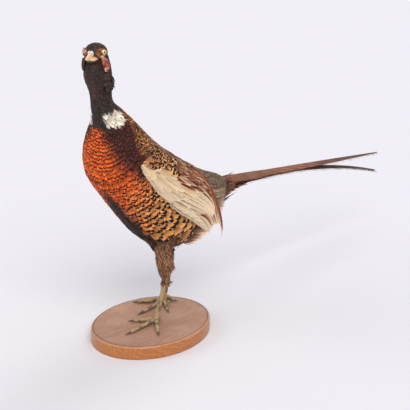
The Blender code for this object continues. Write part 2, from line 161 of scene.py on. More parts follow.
class PheasantColours(bpy.types.PropertyGroup):
    """Ground colours of the plumage and the bare parts."""

    neck: colour_setting("Neck", (0.051, 0.026, 0.021), "Dark glossy head and neck")
    green: colour_setting("Neck gloss", (0.012, 0.024, 0.020), "Green sheen of the neck and belly")
    collar: colour_setting("Collar", (0.83, 0.73, 0.59), "White ring round the neck")
    copper: colour_setting("Copper", (0.78, 0.118, 0.012), "Front of the breast")
    maroon: colour_setting("Maroon", (0.077, 0.0145, 0.008), "Shoulder and upper breast")
    gold: colour_setting("Gold", (0.60, 0.262, 0.080), "Flanks")
    buff: colour_setting("Buff", (0.50, 0.30, 0.130), "Centres of the mantle feathers")
    cream: colour_setting("Cream", (0.85, 0.66, 0.44), "Wing coverts")
    rust: colour_setting("Rust", (0.25, 0.062, 0.028), "Back and edges of the inner wing feathers")
    rump: colour_setting("Rump", (0.155, 0.102, 0.062), "Grey-green hair-like rump")
    black: colour_setting("Black", (0.010, 0.006, 0.006), "Belly and dark edges")
    down: colour_setting("Down", (0.150, 0.074, 0.038), "Brown fluff of thighs and vent")
    tail: colour_setting("Tail", (0.245, 0.103, 0.056), "Middle of the tail feathers")
    fringe: colour_setting("Tail fringe", (0.30, 0.105, 0.062), "Loose pinkish edges of the tail feathers")
    face: colour_setting("Face", (0.230, 0.070, 0.022), "Bare skin before the eye")
    wattle: colour_setting("Wattle", (0.600, 0.100, 0.048), "Red lobe below the eye")
    bill: colour_setting("Bill", (0.86, 0.64, 0.34), "Horn of the bill")
    leg: colour_setting("Legs", (0.50, 0.33, 0.16), "Scales of the shanks and toes")
    claw: colour_setting("Claws", (0.060, 0.034, 0.022), "Horn of claws and spurs")
    iris: colour_setting("Iris", (0.86, 0.72, 0.36), "Pale ring of the glass eye")
    wood_top: colour_setting("Wood, top", (0.455, 0.260, 0.172), "Matt upper face of the base")
    wood_side: colour_setting("Wood, side", (0.54, 0.200, 0.050), "Varnished edge of the base")


class PheasantSizes(bpy.types.PropertyGroup):
    """Depths and meshes of the skin and its coat."""

    coat: length_setting("Coat depth", 0.0030, "Depth of the body's feathers over the skin")
    head_coat: length_setting("Head coat depth", 0.0010, "Depth of the feathers on the head")
    body_voxel: length_setting("Body mesh", 0.0023, "Mesh size of the body's skin")
    head_voxel: length_setting("Head mesh", 0.0007, "Mesh size of the head's skin")
    foot_voxel: length_setting("Foot mesh", 0.00068, "Mesh size of the feet")


def colours():
    """The scene's colour settings."""
    return bpy.context.scene.pheasant_colours


def sizes():
    """The scene's depths and mesh sizes."""
    return bpy.context.scene.pheasant_sizes


def tone(name):
    """One of the colours as an array."""
    return np.array(getattr(colours(), name))


def palette():
    """All the colours as arrays."""
    return SimpleNamespace(**{name: tone(name) for name in PheasantColours.__annotations__})


# ---------------------------------------------------------------- shapes from the frame


def node_shape(*names):
    """A bmesh of these solids' surfaces, each closed."""
    shape = bmesh.new()
    for name in names:
        shape.from_mesh(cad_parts[name].data)
    bmesh.ops.remove_doubles(shape, verts=shape.verts, dist=1e-6)
    return shape


def mesh_of(shape, name="part"):
    """A mesh of a bmesh, which it frees."""
    mesh = bpy.data.meshes.new(name)
    shape.to_mesh(mesh)
    shape.free()
    return mesh


def new_object(name, data):
    """An object in the scene."""
    item = bpy.data.objects.new(name, data)
    bpy.context.scene.collection.objects.link(item)
    return item


def shape_of(piece, *others):
    """A bmesh of an object as its modifiers leave it, after which it and the others are gone."""
    bpy.context.view_layer.update()
    shape = bmesh.new()
    shape.from_object(piece, bpy.context.evaluated_depsgraph_get())
    for item in (piece, *others):
        bpy.data.objects.remove(item)
    return shape


def finish_shape(name, shape, marks, material, slot, *nodes):
    """Makes a smooth finished piece of a bmesh, with the values that its points carry."""
    mesh = mesh_of(shape, name)
    mesh.shade_smooth()
    for label, values in marks.items():
        write_colour(mesh, label, np.array(values, float))
    return finish_piece(name, mesh, material, slot, *nodes)


def finish_piece(name, mesh, material, slot, *nodes):
    """Makes a finished piece of a mesh, riding on the root and standing for the nodes."""
    piece = new_object(name, mesh)
    mesh.materials.append(material)
    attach(piece, "root")
    if nodes:
        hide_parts(*nodes)
    return piece


def remeshed(shape, voxel, grow=0.0, rounds=2):
    """One closed smooth surface round the bodies of a bmesh, which it frees."""
    if grow:
        bmesh.ops.recalc_face_normals(shape, faces=shape.faces)
        shape.normal_update()
        for vertex in shape.verts:
            vertex.co += vertex.normal * grow
    rough = new_object("rough", mesh_of(shape))
    remesh = rough.modifiers.new("remesh", "REMESH")
    remesh.mode = "VOXEL"
    remesh.voxel_size = voxel
    smooth = shape_of(rough)
    axes = {"use_axis_" + letter: True for letter in "xyz"}
    for _ in range(rounds):
        bmesh.ops.smooth_vert(smooth, verts=smooth.verts, factor=0.5, **axes)
    smooth.normal_update()
    return smooth


def tree_of(piece):
    """A search tree of a piece's surface."""
    shape = bmesh.new()
    shape.from_mesh(piece.data)
    tree = BVHTree.FromBMesh(shape)
    shape.free()
    return tree


def between(rows, t):
    """The row of values at place t of a table, on a smooth curve through its rows."""
    last = len(rows) - 1
    i = min(max(int(t), 0), last - 1)
    f = t - i
    a, b, c, d = (rows[min(max(k, 0), last)] for k in (i - 1, i, i + 1, i + 2))
    values = (
        0.5 * (2 * q + (r - p) * f + (2 * p - 5 * q + 4 * r - s) * f**2 + (3 * q - p - 3 * r + s) * f**3)
        for p, q, r, s in zip(a, b, c, d)
    )
    return type(rows[0])(*values)


def body_frame(t):
    """The body's middle at place t, the way up to the back, and the reaches up, down and to the side."""
    s = between(STATIONS, t)
    back, belly = Vector((0, s.back_y, s.back_z)), Vector((0, s.belly_y, s.belly_z))
    middle = back.lerp(belly, s.waist)
    up = (back - belly).normalized()
    return middle + BIRD_AT, up, (back - middle).length, (belly - middle).length, s.wide


def body_point(t, angle, lift=0.0):
    """A point on the body or lifted off it, at an angle round from the back over the left side."""
    middle, up, above, below, wide = body_frame(t)
    rise = math.cos(angle)
    reach = (above if rise > 0 else below) + lift
    return middle + Vector(((wide + lift) * math.sin(angle), 0, 0)) + up * reach * rise


def body_ray(t, angle):
    """The middle of the body at place t, and the direction out of it through the body's point there."""
    middle = body_frame(t)[0]
    return middle, (body_point(t, angle) - middle).normalized()


def head_point(forward, left, up):
    """A point given in the head's own frame."""
    return HEAD_AT + HEAD_TURN @ Vector((left, -forward, up))


def in_head(point):
    """A point's place in the head's own frame: forward, left and up."""
    x, y, z = HEAD_TURN.inverted() @ (point - HEAD_AT)
    return -y, x, z


BODY_REACH = 0.12  # distance from the body's middle line within which all of it lies


class Ground:
    """A surface that feathers stand on, looked up from outside at a place along and round its middle line."""

    def __init__(self, piece, ray, reach=BODY_REACH):
        self.ray = ray
        self.reach = reach
        self.tree = tree_of(piece)

    def at(self, t, angle):
        """The outermost point there and the normal, or None."""
        middle, out = self.ray(t, angle)
        point, normal, _, _ = self.tree.ray_cast(middle + out * self.reach, -out, self.reach * 1.2)
        if point is None:
            return None
        return point, normal if normal.dot(out) > 0 else -normal

    def footing(self, t, angle):
        """The point and the normal there, and the way down the middle line; None for what isn't there."""
        found, ahead = self.at(t, angle), self.at(t - STEP, angle)
        if found is None or ahead is None:
            return None, None, None
        return *found, tangent(found[1], ahead[0] - found[0])


# ---------------------------------------------------------------- markings


def ramp(low, high, value):
    """0 below low, 1 above high, smooth between."""
    x = min(max((value - low) / (high - low), 0), 1)
    return x * x * (3 - 2 * x)


# What one feather looks like: its ground, edge and centre colours, the breadths of edge and centre, the
# strength of its cross bars, its gloss, and how far its edge goes round the sides: 0 is a spot at the tip.
Look = namedtuple("Look", "ground edge centre edge_wide centre_wide bars gloss rim", defaults=(1.0,))


def mixed(first, second, share):
    """A look part of the way from one to another."""
    return Look(*(a * (1 - share) + b * share for a, b in zip(first, second)))


def looks():
    """The looks of the body's tracts, by name."""
    c = palette()
    chestnut, straw = c.maroon * 1.6 + c.copper * 0.09, c.gold * 0.7 + c.buff * 0.7
    return {
        "neck": Look(c.neck, c.neck * 0.5 + c.green * 0.4, c.neck * 1.4, 0.20, 0.30, 0.0, 0.35),
        "collar": Look(c.collar, c.collar * 0.92, c.collar * 0.8, 0.1, 0.12, 0.0, 0.1),
        "copper": Look(c.copper * 1.2, c.maroon * 0.4, c.copper * 0.75, 0.19, 0.2, 0.0, 0.35, 0.75),
        "maroon": Look(c.maroon, c.black * 0.6, chestnut, 0.22, 0.17, 0.0, 0.4, 0.6),
        "gold": Look(c.gold * 1.35, c.black * 0.3, c.gold * 0.5, 0.28, 0.08, 0.0, 0.25, 0.25),
        "mantle": Look(c.black * 0.4, straw, c.rust * 0.6 + c.gold * 0.9, 0.10, 0.21, 0.0, 0.3, 0.8),
        "back": Look(c.rust, c.buff * 0.9, c.rust * 0.35, 0.12, 0.40, 0.15, 0.2),
        "rump": Look(c.rump, c.rump * 0.45, c.rump * 2.4, 0.26, 0.16, 0.55, 0.2),
        "belly": Look(c.maroon * 0.35, c.green * 0.5, c.maroon * 0.7, 0.2, 0.2, 0.0, 0.4),
        "fluff": Look(c.down * 2.4, c.down * 2.0 + c.cream * 0.4, c.down * 1.4, 0.30, 0.25, 0.0, 0.0),
        "vent": Look(c.down, c.down * 1.9, c.down * 0.5, 0.2, 0.35, 0.1, 0.0),
        "undertail": Look(c.rump * (0.62, 0.60, 0.45), c.rust * 0.9, c.black * 2, 0.25, 0.3, 0.2, 0.15),
    }


def degrees_off_back(angle):
    """How far an angle lies from the middle of the back, on either side."""
    return abs(math.degrees(math.atan2(math.sin(angle), math.cos(angle))))


# Angle down from the back at which the flanks begin, at places along the body.
FLANK_EDGE = ((1.5, 2.6, 3.3, 4.0, 5.0, 6.0, 7.0, 7.5, 8.5, 9.3), (125, 112, 102, 60, 52, 62, 80, 82, 68, 56))


def body_look(table, t, angle, point):
    """The look of the plumage at a place along the body and round it from the back."""
    a = degrees_off_back(angle)
    wander = noise.noise(point * 55) * 0.9 + noise.noise(point * 140) * 0.5
    t = t + wander * 0.16
    a = a + wander * 5
    # down the body: rump, back, mantle along the top
    top = mixed(table["rump"], table["back"], ramp(3.4, 4.3, t))
    mantle = table["mantle"]
    edge, centre = mantle.edge * (1.0, 0.8, 0.6), mantle.centre * (0.9, 0.7, 0.5)
    nape = mantle._replace(edge=edge, centre=centre, edge_wide=0.06)
    top = mixed(top, mixed(mantle, nape, ramp(6.8, 7.8, t)), ramp(4.9, 5.9, t))
    # breast and flank below it
    flank = mixed(table["fluff"], table["gold"], ramp(1.9, 2.7, t))
    warm = mixed(flank, table["copper"], ramp(5.0, 7.4, t + (a - 120) / 50 + wander * 0.5))
    # the shoulder's maroon is its own colour, but that it reaches further round the left side than the right
    # is painted shade
    reach = (124 if angle > 0 else 100) + (t - 7.0) * 20
    shoulder_and_shade = ramp(5.7, 6.7, t) * (1 - ramp(-24, 16, a - reach + wander * 6))
    warm = mixed(warm, table["maroon"], shoulder_and_shade)
    look = mixed(top, warm, ramp(-7, 7, a - float(np.interp(t, *FLANK_EDGE))))
    # belly stripe and vent
    below = a - (150 + 8.0 * max(t - 3.4, 0))
    look = mixed(look, table["maroon"], ramp(-9, 2, below) * (1 - ramp(6.4, 7.0, t)) * 0.85)
    look = mixed(look, table["belly"], ramp(-2, 7, below + wander * 4) * (1 - ramp(6.2, 6.9, t)))
    loose = mixed(table["fluff"], table["vent"], ramp(130, 155, a))
    look = mixed(look, loose, (1 - ramp(2.0, 3.0, t)) * ramp(95, 115, a))
    look = mixed(look, table["undertail"], (1 - ramp(0.9, 1.5, t)) * ramp(60, 85, a))
    # neck and collar
    front = ramp(140, 160, a)
    neck = ramp(-0.12, 0.12, t - (9.28 + 0.12 * front + 0.15 * (1 - ramp(50, 75, a))))
    streak = noise.noise(Vector((point.x * 120, point.y * 120, point.z * 18)))
    brown = 0.62 + 2.1 * ramp(-0.30, 0.45, streak) * np.array((1.0, 0.68, 0.70))
    dark = table["neck"]._replace(ground=table["neck"].ground * brown)
    slate = table["neck"]._replace(ground=np.array((0.030, 0.031, 0.034)), edge=tone("green") * 0.8)
    dark = mixed(dark, slate, (1 - ramp(10.1, 11.0, t)) * ramp(95, 125, a) * 0.8)
    look = mixed(look, dark, neck)
    low = 9.02 + 0.010 * max(a - 90, 0)
    high = 10.0 + 0.15 * ramp(90, 130, a) - 0.3 * (1 - ramp(66, 88, a))
    ring = ramp(-0.05, 0.05, t - low) * (1 - ramp(-0.05, 0.05, t - high))
    ring *= ramp(58, 66, a) * (1 - ramp(138, 146, a))
    return mixed(look, table["collar"], ring)


# ---------------------------------------------------------------- feathers


def vane_pattern(columns, rows):
    """A thin closed vane as a bmesh: across it x runs from -1 to 1, along it y from 0 to 1, and z is 1 on its
    outer face, 0 at its edges and -1 on its inner face."""
    shape = bmesh.new()
    bmesh.ops.create_grid(shape, x_segments=columns, y_segments=rows, size=1)
    under = bmesh.ops.duplicate(shape, geom=shape.faces[:])["geom"]
    under = [item for item in under if isinstance(item, bmesh.types.BMFace)]
    bmesh.ops.reverse_faces(shape, faces=under)
    inner = {vertex for face in under for vertex in face.verts}
    for vertex in shape.verts:
        edge = max(abs(vertex.co.x), abs(vertex.co.y)) > 0.999
        vertex.co.z = 0 if edge else (-1 if vertex in inner else 1)
        vertex.co.y = (vertex.co.y + 1) / 2
    bmesh.ops.remove_doubles(shape, verts=shape.verts, dist=1e-5)
    for vertex in shape.verts:
        vertex.co.y = 1 - (1 - vertex.co.y) ** 1.5
    return shape


def pattern_arrays(columns, rows):
    """The pattern's points, and its faces as one list of corners four at a time."""
    shape = vane_pattern(columns, rows)
    shape.verts.index_update()
    points = np.array([vertex.co[:] for vertex in shape.verts])
    corners = np.array([[vertex.index for vertex in face.verts] for face in shape.faces])
    shape.free()
    return points, corners


# The form of a kind of feather: share of its breadth at the root, how blunt its tip is, how it is cupped
# across, how its tip curls in (negative: out), and its thickness over its breadth.
Form = namedtuple("Form", "root blunt cup curl thick")
ROUND = Form(0.55, 2.2, 0.16, 0.10, 0.035)
POINTED = Form(0.60, 1.3, 0.20, 0.06, 0.04)
BLUNT = Form(0.60, 3.6, 0.14, 0.10, 0.03)
HAIRY = Form(0.70, 0.9, 0.15, 0.00, 0.06)
FLUFFY = Form(0.80, 0.8, 0.10, -0.25, 0.08)


def outline(v, form):
    """Half breadth of a vane at v along it, as a share of the most."""
    rise = form.root + (1 - form.root) * np.sin(np.clip(v / 0.6, 0, 1) * np.pi / 2)
    tip = np.clip((v - 0.45) / 0.55, 0, 1)
    return np.maximum(rise * (1 - tip**form.blunt) ** (1 / form.blunt), 0.05)


class Vanes:
    """Vanes of one pattern, gathered into one piece."""

    def __init__(self, columns, rows):
        self.points, self.corners = pattern_arrays(columns, rows)

    def joined(self, name, points, spots, looks, seeds, material, slot, *nodes):
        """The joined mesh with its attributes, riding on the root and standing for the nodes."""
        u, v, face = self.points.T
        starts = np.arange(len(seeds)) * len(self.points)
        corners = (self.corners[None] + starts[:, None, None]).reshape(-1, 4)
        mesh = joined_mesh(name, points, corners, face)
        across = np.tile(np.stack([u / 2 + 0.5, v], 1), (len(seeds), 1))
        write_uv(mesh, "Vane", across[corners.ravel()])
        write_uv(mesh, "OFBake", spots[corners.ravel()])
        write_looks(mesh, looks, seeds, len(self.points))
        return finish_piece(name, mesh, material, slot, *nodes)


class Coat(Vanes):
    """Feathers that curve off the ground they stand on."""

    def __init__(self, form, columns=2, rows=5):
        super().__init__(columns, rows)
        self.form = form
        self.rows = {key: [] for key in ("root", "along", "out", "size", "lift", "place", "look", "seed")}

    def add(self, root, along, out, size, lift, place, look, seed):
        """One feather: its root, the way it lies, the surface's normal, its length and breadth, how far its
        tip stands off the ground and how far the ground itself rises under the tip, its place on the
        unwrapped skin, its markings and its own chance number."""
        for key, value in zip(self.rows, (root, along, out, size, lift, place, look, seed)):
            self.rows[key].append(value)

    def piece(self, name):
        """Makes the piece of all its feathers."""
        data = {key: np.array(value, float) for key, value in self.rows.items() if key != "look"}
        u, v, face = self.points.T
        length, wide = data["size"][:, :1], data["size"][:, 1:]
        half = wide / 2 * outline(v, self.form)
        twist = (data["seed"][:, None] - 0.5) * 0.24
        rise = data["lift"][:, :1] * v**0.8 + data["lift"][:, 1:] * v**2
        rise = rise - self.form.curl * length * v**3 * 0.5
        rise = rise - self.form.cup * half * u**2 + face * self.form.thick * wide * (1 - 0.7 * v)
        rise = rise + twist * half * u
        along = data["along"]
        out = data["out"]
        side = np.cross(along, out)
        points = data["root"][:, None] + along[:, None] * (v * length)[..., None]
        points += side[:, None] * (u * half)[..., None] + out[:, None] * rise[..., None]
        patch = data["place"][:, None] + (np.stack([u / 2, v - 0.5], 1) * 0.003)[None]
        patch = np.clip(patch, 0.001, 0.999).reshape(-1, 2)
        points = points.reshape(-1, 3)
        self.joined(name, points, patch, self.rows["look"], data["seed"], plumage_finish(), "plumage")


def joined_mesh(name, points, corners, faces):
    """A mesh of four-cornered faces. It is sharp along the rims, where faces has 0: on neither face."""
    mesh = bpy.data.meshes.new(name)
    mesh.vertices.add(len(points))
    mesh.vertices.foreach_set("co", points.astype(np.float32).ravel())
    mesh.loops.add(corners.size)
    mesh.loops.foreach_set("vertex_index", corners.astype(np.int32).ravel())
    mesh.polygons.add(len(corners))
    mesh.polygons.foreach_set("loop_start", np.arange(0, corners.size, 4, dtype=np.int32))
    mesh.update(calc_edges=True)
    mesh.shade_smooth()
    ends = np.zeros(len(mesh.edges) * 2, dtype=np.int32)
    mesh.edges.foreach_get("vertices", ends)
    rims = (np.tile(faces, len(points) // len(faces)) == 0)[ends.reshape(-1, 2)].all(axis=1)
    mesh.attributes.new("sharp_edge", "BOOLEAN", "EDGE").data.foreach_set("value", rims)
    return mesh


def write_uv(mesh, name, corners):
    """A map with a place for each corner of the faces."""
    layer = mesh.uv_layers.new(name=name)
    layer.data.foreach_set("uv", corners.astype(np.float32).ravel())


def write_colour(mesh, name, values):
    """A colour for each point."""
    layer = mesh.attributes.new(name, "FLOAT_COLOR", "POINT")
    layer.data.foreach_set("color", np.c_[values, np.ones(len(values))].astype(np.float32).ravel())


def write_looks(mesh, rows, seeds, repeat):
    """The markings of each feather, on all its points: its three colours, the breadths of edge and centre
    with the bars' strength, and its gloss, chance number and rim."""
    values = {name: [getattr(row, name) for row in rows] for name in ("ground", "edge", "centre")}
    values["marks"] = [(row.edge_wide, row.centre_wide, row.bars) for row in rows]
    values["chance"] = [(row.gloss, seed, row.rim) for row, seed in zip(rows, seeds)]
    for name, items in values.items():
        write_colour(mesh, name, np.repeat(np.array(items), repeat, axis=0))


def tangent(out, way):
    """The part of a direction that lies along the surface."""
    flat = way - out * way.dot(out)
    return flat.normalized() if flat.length > 1e-9 else None


STEP = 0.05  # places along the body over which a feather's way down it is looked up
STRAY_ROUND, STRAY_ALONG = 0.14, 0.16  # how far feathers stray out of their rows, as shares of the gaps
STRAY_TURN = 0.06  # how far they turn, in radians
MOST_DROP, MOST_RISE = 0.30, 0.18  # how far a feather bends to the ground under its tip, of its length

# Seeds of the chance numbers of each coat that isn't in the list of tracts.
FLUFF_SEED, TAIL_COVERTS_SEED, HEAD_SEED, THIGH_SEED, WING_SEED, TAIL_SEED = 17, 18, 21, 31, 41, 51

# The sizes of a tract's feathers: distance between rows, breadth, length and lift, in millimetres.
Size = namedtuple("Size", "pitch wide long lift")


def scatter(coat, ground, span, size, look, rng, keep=None, closeness=0.62):
    """Rows of feathers from the first place of the span down to the last. size gives their sizes at a place
    and angle, and keep says where they grow, from the place, the angle and the point."""
    t, end = span
    start = t
    row = 0
    while t > end:
        here = size(t, math.pi / 2)
        metre = max((ground.ray(t + STEP, 0)[0] - ground.ray(t - STEP, 0)[0]).length / (2 * STEP), 0.01)
        count = max(int(girth(ground, t) * 1000 / (here.wide * closeness)), 5)
        for k in range(count):
            angle = 2 * math.pi * (k + 0.5 * (row % 2) + rng.uniform(-STRAY_ROUND, STRAY_ROUND)) / count
            angle = math.atan2(math.sin(angle), math.cos(angle))
            at = t + rng.uniform(-STRAY_ALONG, STRAY_ALONG) * here.pitch / 1000 / metre
            turn = rng.normal() * STRAY_TURN
            chance = rng.uniform(0, 1, 3)
            point, out, along = ground.footing(at, angle)
            if point is None or (keep and not keep(at, angle, point)):
                continue
            if along is None or (point.z > HEAD_LOW and max(bareness(point), wattled(point)) > 0.3):
                continue
            along = Matrix.Rotation(turn, 3, out) @ along
            mine = size(at, angle)
            long = mine.long / 1000 * (0.9 + 0.2 * chance[0])
            tip = ground.at(at - long / metre * 0.9, angle)
            drop = (tip[0] - point).dot(out) if tip else 0
            drop = min(max(drop, -MOST_DROP * long), MOST_RISE * long)
            place = (angle / (2 * math.pi) + 0.5, (at - end) / (start - end))
            lift = mine.lift / 1000 * (0.8 + 0.4 * chance[1])
            wide = mine.wide / 1000 * (0.92 + 0.16 * chance[1])
            coat.add(point, along, out, (long, wide), (lift, drop), place, look(at, angle, point), chance[2])
        t -= here.pitch / 1000 / metre
        row += 1


def girth(ground, t):
    """Length round the ground at place t."""
    found = [ground.at(t, 2 * math.pi * k / 24) for k in range(25)]
    points = [item[0] for item in found if item]
    return sum((b - a).length for a, b in zip(points, points[1:]))


def sown(piece, inside, apart, rng, tries=30000):
    """Points strewn on a piece's surface no closer than apart, with their normals, where inside says so."""
    mesh = piece.data
    mesh.calc_loop_triangles()
    triangles = np.zeros(len(mesh.loop_triangles) * 3, dtype=np.int32)
    mesh.loop_triangles.foreach_get("vertices", triangles)
    points = vertices_of(mesh)
    corners = points[triangles.reshape(-1, 3)]
    middles = corners.mean(axis=1)
    near = np.array([inside(Vector(point)) for point in middles])
    corners = corners[near]
    normals = np.cross(corners[:, 1] - corners[:, 0], corners[:, 2] - corners[:, 0])
    areas = np.linalg.norm(normals, axis=1)
    picks = rng.choice(len(corners), tries, p=areas / areas.sum())
    a, b = rng.uniform(0, 1, (2, tries))
    flip = a + b > 1
    a, b = np.where(flip, 1 - a, a), np.where(flip, 1 - b, b)
    spots = corners[picks, 0] + (corners[picks, 1] - corners[picks, 0]) * a[:, None]
    spots += (corners[picks, 2] - corners[picks, 0]) * b[:, None]
    taken = {}
    kept = []
    for k, spot in enumerate(spots):
        cell = tuple((spot / apart).astype(int))
        around = itertools.product(*((value - 1, value, value + 1) for value in cell))
        near = (taken.get(other) for other in around)
        if all(other is None or np.linalg.norm(spots[other] - spot) > apart for other in near):
            taken[cell] = k
            kept.append((Vector(spot), Vector(normals[picks[k]] / areas[picks[k]])))
    return kept


def vertices_of(mesh):
    """The points of a mesh, a row each."""
    points = np.zeros(len(mesh.vertices) * 3, dtype=np.float32)
    mesh.vertices.foreach_get("co", points)
    return points.reshape(-1, 3).astype(float)


# ---------------------------------------------------------------- shader nodes


def sum_of(operation, turned=False):
    """An operator of Value, made of a math node."""

    def made(self, other):
        first, second = (other, self) if turned else (self, other)
        return self.nodes.math(operation, first, second)

    return made


class Value:
    """A node's output that can be reckoned with."""

    def __init__(self, nodes, socket):
        self.nodes, self.socket = nodes, socket

    __add__ = sum_of("ADD")
    __sub__ = sum_of("SUBTRACT")
    __rsub__ = sum_of("SUBTRACT", True)
    __mul__ = sum_of("MULTIPLY")
    __pow__ = sum_of("POWER")


class Nodes:
    """Short ways to add nodes to a tree, each linked or set as it is made."""

    def __init__(self, tree):
        self.tree = tree

    def add(self, kind, settings=None, inputs=None):
        """A node with its settings made and its inputs set or linked."""
        item = self.tree.nodes.new(kind)
        for name, value in (settings or {}).items():
            setattr(item, name, value)
        for name, value in (inputs or {}).items():
            self.put(item.inputs[name], value)
        return item

    def put(self, socket, value):
        """Links a socket to an output, or sets it to a number, a place or a colour."""
        value = getattr(value, "socket", value)
        if isinstance(value, bpy.types.NodeSocket):
            self.tree.links.new(value, socket)
        elif value is not None:
            socket.default_value = (*value, 1) if socket.type == "RGBA" and len(value) == 3 else value

    def math(self, operation, a, b=None, clamp=False):
        """A value worked out from one or two others."""
        settings = {"operation": operation, "use_clamp": clamp}
        return Value(self, self.add("ShaderNodeMath", settings, {0: a, 1: b}).outputs[0])

    def step(self, low, high, value):
        """0 below low and 1 above high."""
        inputs = {"Value": value, "From Min": low, "From Max": high}
        item = self.add("ShaderNodeMapRange", {"interpolation_type": "SMOOTHSTEP"}, inputs)
        return Value(self, item.outputs["Result"])

    def mix(self, factor, a, b, blend="MIX"):
        """A colour part of the way from a to b."""
        settings = {"data_type": "RGBA", "blend_type": blend}
        return self.add("ShaderNodeMix", settings, {0: factor, 6: a, 7: b}).outputs[2]

    def noise(self, vector, scale, detail=3.0, rough=0.55):
        """Soft chance values from 0 to 1."""
        inputs = {"Vector": vector, "Scale": scale, "Detail": detail, "Roughness": rough}
        return Value(self, self.add("ShaderNodeTexNoise", None, inputs).outputs["Fac"])

    def cells(self, vector, scale, feature):
        """Distance to the middle or the edge of a cell."""
        item = self.add("ShaderNodeTexVoronoi", {"feature": feature}, {"Vector": vector, "Scale": scale})
        return Value(self, item.outputs["Distance"])

    def attribute(self, name):
        """A colour that the mesh carries."""
        return self.add("ShaderNodeAttribute", {"attribute_name": name}).outputs["Color"]

    def parts(self, vector):
        """Three values from a vector, or from the name of an attribute."""
        if isinstance(vector, str):
            vector = self.add("ShaderNodeAttribute", {"attribute_name": vector}).outputs["Vector"]
        return [Value(self, item) for item in self.add("ShaderNodeSeparateXYZ", None, {0: vector}).outputs]

    def joined(self, x, y, z):
        """A vector of three values."""
        return self.add("ShaderNodeCombineXYZ", None, {0: x, 1: y, 2: z}).outputs[0]

    def here(self):
        """The place on the piece, in metres."""
        return self.add("ShaderNodeTexCoord").outputs["Object"]

    def shade(self, value, low, high):
        """A value from 0 to 1 as a grey between low and high."""
        inputs = {"Value": value, "To Min": low, "To Max": high}
        return Value(self, self.add("ShaderNodeMapRange", {"clamp": False}, inputs).outputs["Result"])

    def bump(self, height, distance):
        """The surface's normal, bent by a height."""
        return self.add("ShaderNodeBump", None, {"Height": height, "Distance": distance}).outputs["Normal"]


def new_group(name, inputs, outputs):
    """An empty node group with sockets: name to (kind, default)."""
    tree = bpy.data.node_groups.new(name, "ShaderNodeTree")
    for label, (kind, default) in inputs.items():
        socket = tree.interface.new_socket(label, in_out="INPUT", socket_type=kind)
        socket.default_value = default
    for label, kind in outputs.items():
        tree.interface.new_socket(label, in_out="OUTPUT", socket_type=kind)
    n = Nodes(tree)
    return tree, n, tree.nodes.new("NodeGroupInput").outputs, tree.nodes.new("NodeGroupOutput").inputs


def group_node(n, tree, inputs):
    """The outputs of a node group put into a tree."""
    item = n.add("ShaderNodeGroup", {"node_tree": tree})
    for name, value in inputs.items():
        n.put(item.inputs[name], value)
    return item.outputs


NUMBER, COLOUR = "NodeSocketFloat", "NodeSocketColor"


def once(make):
    """A node group that is made the first time it is asked for."""

    def get():
        return bpy.data.node_groups.get(make.__name__) or make()

    return get


@once
def marks_group():
    """What a feather shows, from the colours and breadths it carries and its own map across and along."""
    inputs = {name: (NUMBER, 1.0) for name in ("Barbs", "Bars", "Ragged", "Shade", "Variety")}
    outputs = {"Color": COLOUR, "Height": NUMBER, "Roughness": NUMBER}
    tree, n, given, made = new_group("marks_group", inputs, outputs)
    across, along, _ = n.parts(n.add("ShaderNodeUVMap", {"uv_map": "Vane"}).outputs[0])
    edge_wide, centre_wide, bars = n.parts("marks")
    gloss, chance, rim = n.parts("chance")
    x = n.math("ABSOLUTE", across * 2.0 - 1.0)
    # the barbs slant towards the tip, and the edges of markings are ragged along them
    strand = (along - x * 0.22) * given["Barbs"]
    jag = n.noise(n.joined(strand, chance * 57.0, x * 1.2), 1.0, 1.0)
    jagged = (jag - 0.5) * given["Ragged"]
    reach = ((x * 0.86) ** 3.0 * rim + along**3.0) ** (1 / 3) + jagged
    beside = n.step(0.74, 0.98, x + jagged * 2.0)
    edge = n.step(-0.03, 0.03, reach - (1.0 - edge_wide)) * (1.0 - beside * (1.0 - rim))
    middle = n.step(-0.1, 0.1, centre_wide * 1.25 - (x + jagged * 2.0 + along * 0.25))
    wave = (along - x * 0.12) * given["Bars"] + (chance + jagged)
    wave = n.step(0.1, 0.5, n.math("SINE", wave * (2 * math.pi)))
    barred = n.math("MULTIPLY", wave, bars, True)
    colour = n.mix(middle, n.attribute("ground"), n.attribute("centre"))
    colour = n.mix(edge, colour, n.attribute("edge"))
    colour = n.mix(barred, colour, n.attribute("centre"))
    stripe = n.math("SINE", strand * (2 * math.pi))
    bright = n.shade(stripe, 0.95, 1.05) + (chance + (jag - 1.0)) * given["Variety"]
    # painted shade: each feather darkens towards its root, where the feathers lying over it would shade it
    shade = (1.0 - n.step(0.15, 0.8, along)) * given["Shade"]
    bright = bright * (1.06 - shade)
    n.put(made["Color"], n.mix(1.0, colour, n.joined(bright, bright, bright), "MULTIPLY"))
    shaft = 1.0 - n.step(0.02, 0.09, x)
    n.put(made["Height"], stripe * 0.35 + shaft)
    n.put(made["Roughness"], n.shade(gloss, 0.80, 0.42))
    return tree


def finish(**numbers):
    """Turns a function that adds nodes into one that gives its material, made when it is first asked for. The
    numbers are uniform ones of the Principled shader, and the function gives what its other sockets take."""

    def made_by(add_nodes):
        def get():
            name = add_nodes.__name__
            if name in bpy.data.materials:
                return bpy.data.materials[name]
            material = bpy.data.materials.new(name)
            material.use_nodes = True
            n = Nodes(material.node_tree)
            shader = material.node_tree.nodes["Principled BSDF"].inputs
            for label, value in numbers.items():
                shader[label.replace("_", " ").title().replace("Ior", "IOR")].default_value = value
            for label, value in add_nodes(n).items():
                n.put(shader[label], value)
            return material

        return get

    return made_by


def feather(n, depth, **given):
    """Plumage: barbed vanes with the markings that they carry."""
    marks = group_node(n, marks_group(), given)
    normal = n.bump(marks["Height"], depth)
    return {"Base Color": marks["Color"], "Roughness": marks["Roughness"], "Normal": normal}


@finish(specular_ior_level=0.22)
def plumage_finish(n):
    """Soft feathers of the body, with painted shade towards their roots."""
    return feather(n, 0.00012, Barbs=22.0, Bars=3.0, Ragged=0.16, Shade=0.84, Variety=0.70)


